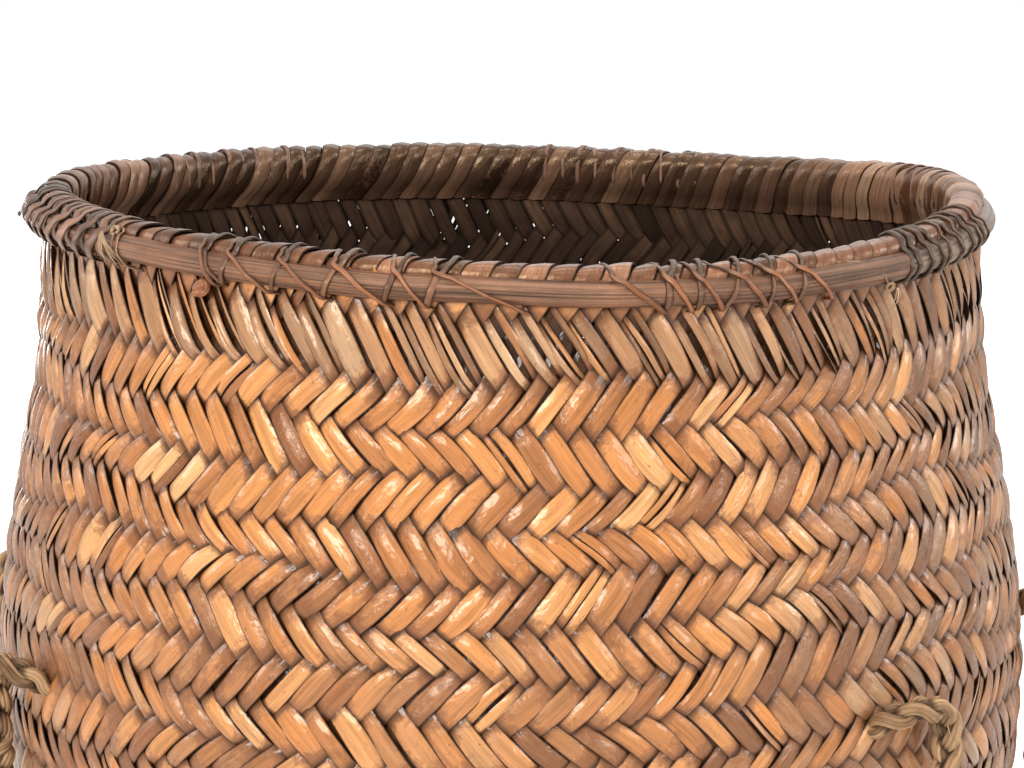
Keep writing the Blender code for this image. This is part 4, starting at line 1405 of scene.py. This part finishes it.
KNOB_RADIUS = 0.0021
knob_centre = place(math.radians(-34.4), 0.1912, HEIGHT - 0.0160)
turn = np.linspace(0, math.tau * 3.4, 70)
waves = (np.sin(turn), 0.7 * np.cos(1.21 * turn), np.cos(0.9 * turn))
knob_line = knob_centre + KNOB_RADIUS * np.stack(waves, axis=1)
knob = fibre_block(knob_line, 0.0013, 8, 0.8)
add_piece("vine_knot", [knob], VINE, "vine_knob")


# The floor, the light and the background

FLOOR_REACH = 4.0
FLOOR_DROP = 0.0005
FLOOR_COLOUR = (0.86, 0.86, 0.86)
FLOOR_GLOW = 0.8
WHITE = (1.0, 1.0, 1.0)
WORLD_LIGHT = 0.28
WARM_WHITE = (1.0, 0.98, 0.95)
COOL_WHITE = (0.97, 0.98, 1.0)
MIDDLE = (0, 0, HEIGHT * 0.6)
# Each lamp: its name, its place, its target, its size, its watts and its colour
LAMPS = (
    ("key", (-0.80, -1.80, 1.02), MIDDLE, (1.1, 0.40), 36, WARM_WHITE),
    ("second", (1.40, -1.35, 0.90), MIDDLE, (0.8, 0.40), 12, COOL_WHITE),
    ("above", (0.0, -1.1, 1.9), MIDDLE, (1.0, 0.7), 9, WHITE),
    ("overhead", (0.0, 0.05, 2.1), (0, 0.02, 0), (0.8, 0.8), 13, WHITE),
    ("right_side", (1.75, 0.15, 0.85), MIDDLE, (0.6, 0.5), 10, COOL_WHITE),
    ("left_side", (-1.75, 0.05, 0.85), MIDDLE, (0.6, 0.5), 8, (1.0, 0.99, 0.97)),
    ("behind", (-0.3, 2.0, 0.16), MIDDLE, (1.6, 0.26), 20, WHITE),
    ("rear_above", (0.4, 1.6, 1.7), MIDDLE, (1.2, 0.8), 4, WHITE),
)


def floor_material():
    """A pale floor that the camera sees as white, apart from the object's shadow."""
    shader = Shader("pale_floor", roughness=0.9, specular=0.1)
    shader.set("Base Color", FLOOR_COLOUR)
    plain = shader.surface.outputs[0]
    glow = shader.add("Emission", {"Strength": FLOOR_GLOW})[0]
    bright = shader.add("AddShader", {0: plain, 1: glow})[0]
    seen = shader.add("LightPath")["Is Camera Ray"]
    chosen = shader.add("MixShader", {0: seen, 1: plain, 2: bright})[0]
    give(shader.tree, shader.tree.nodes["Material Output"], "Surface", chosen)
    return shader.material


def add_floor():
    corners = ((-1, -1), (1, -1), (1, 1), (-1, 1))
    mesh = bpy.data.meshes.new("floor")
    mesh.from_pydata([(FLOOR_REACH * x, FLOOR_REACH * y, 0) for x, y in corners], [], [(0, 1, 2, 3)])
    mesh.materials.append(floor_material())
    floor = add_object("floor", mesh)
    floor.location.z = -FLOOR_DROP


def add_lamp(name, place_at, aim_at, size, watts, colour):
    data = bpy.data.lights.new(name, "AREA")
    data.shape = "RECTANGLE"
    data.size, data.size_y = size
    data.energy = watts
    data.color = colour
    item = add_object(name, data)
    item.location = place_at
    item.rotation_euler = (Vector(aim_at) - Vector(place_at)).to_track_quat("-Z", "Y").to_euler()
    item.visible_camera = False


def white_world():
    """Soft light all round, and a white background for the camera and for reflections."""
    world = bpy.data.worlds.new("white_world")
    bpy.context.scene.world = world
    world.use_nodes = True
    tree = world.node_tree
    tree.nodes.clear()
    soft = add_node(tree, "Background", {"Color": WHITE, "Strength": WORLD_LIGHT})[0]
    white = add_node(tree, "Background", {"Color": WHITE})[0]
    path = add_node(tree, "LightPath")
    rays = {0: path["Is Glossy Ray"], 1: path["Is Transmission Ray"]}
    sharp = add_node(tree, "Math", rays, operation="MAXIMUM")[0]
    seen = add_node(tree, "Math", {0: sharp, 1: path["Is Camera Ray"]}, operation="MAXIMUM")[0]
    chosen = add_node(tree, "MixShader", {0: seen, 1: soft, 2: white})[0]
    add_node(tree, "OutputWorld", {"Surface": chosen})


add_floor()
for lamp in LAMPS:
    add_lamp(*lamp)
white_world()
bpy.context.scene.view_settings.view_transform = "Standard"
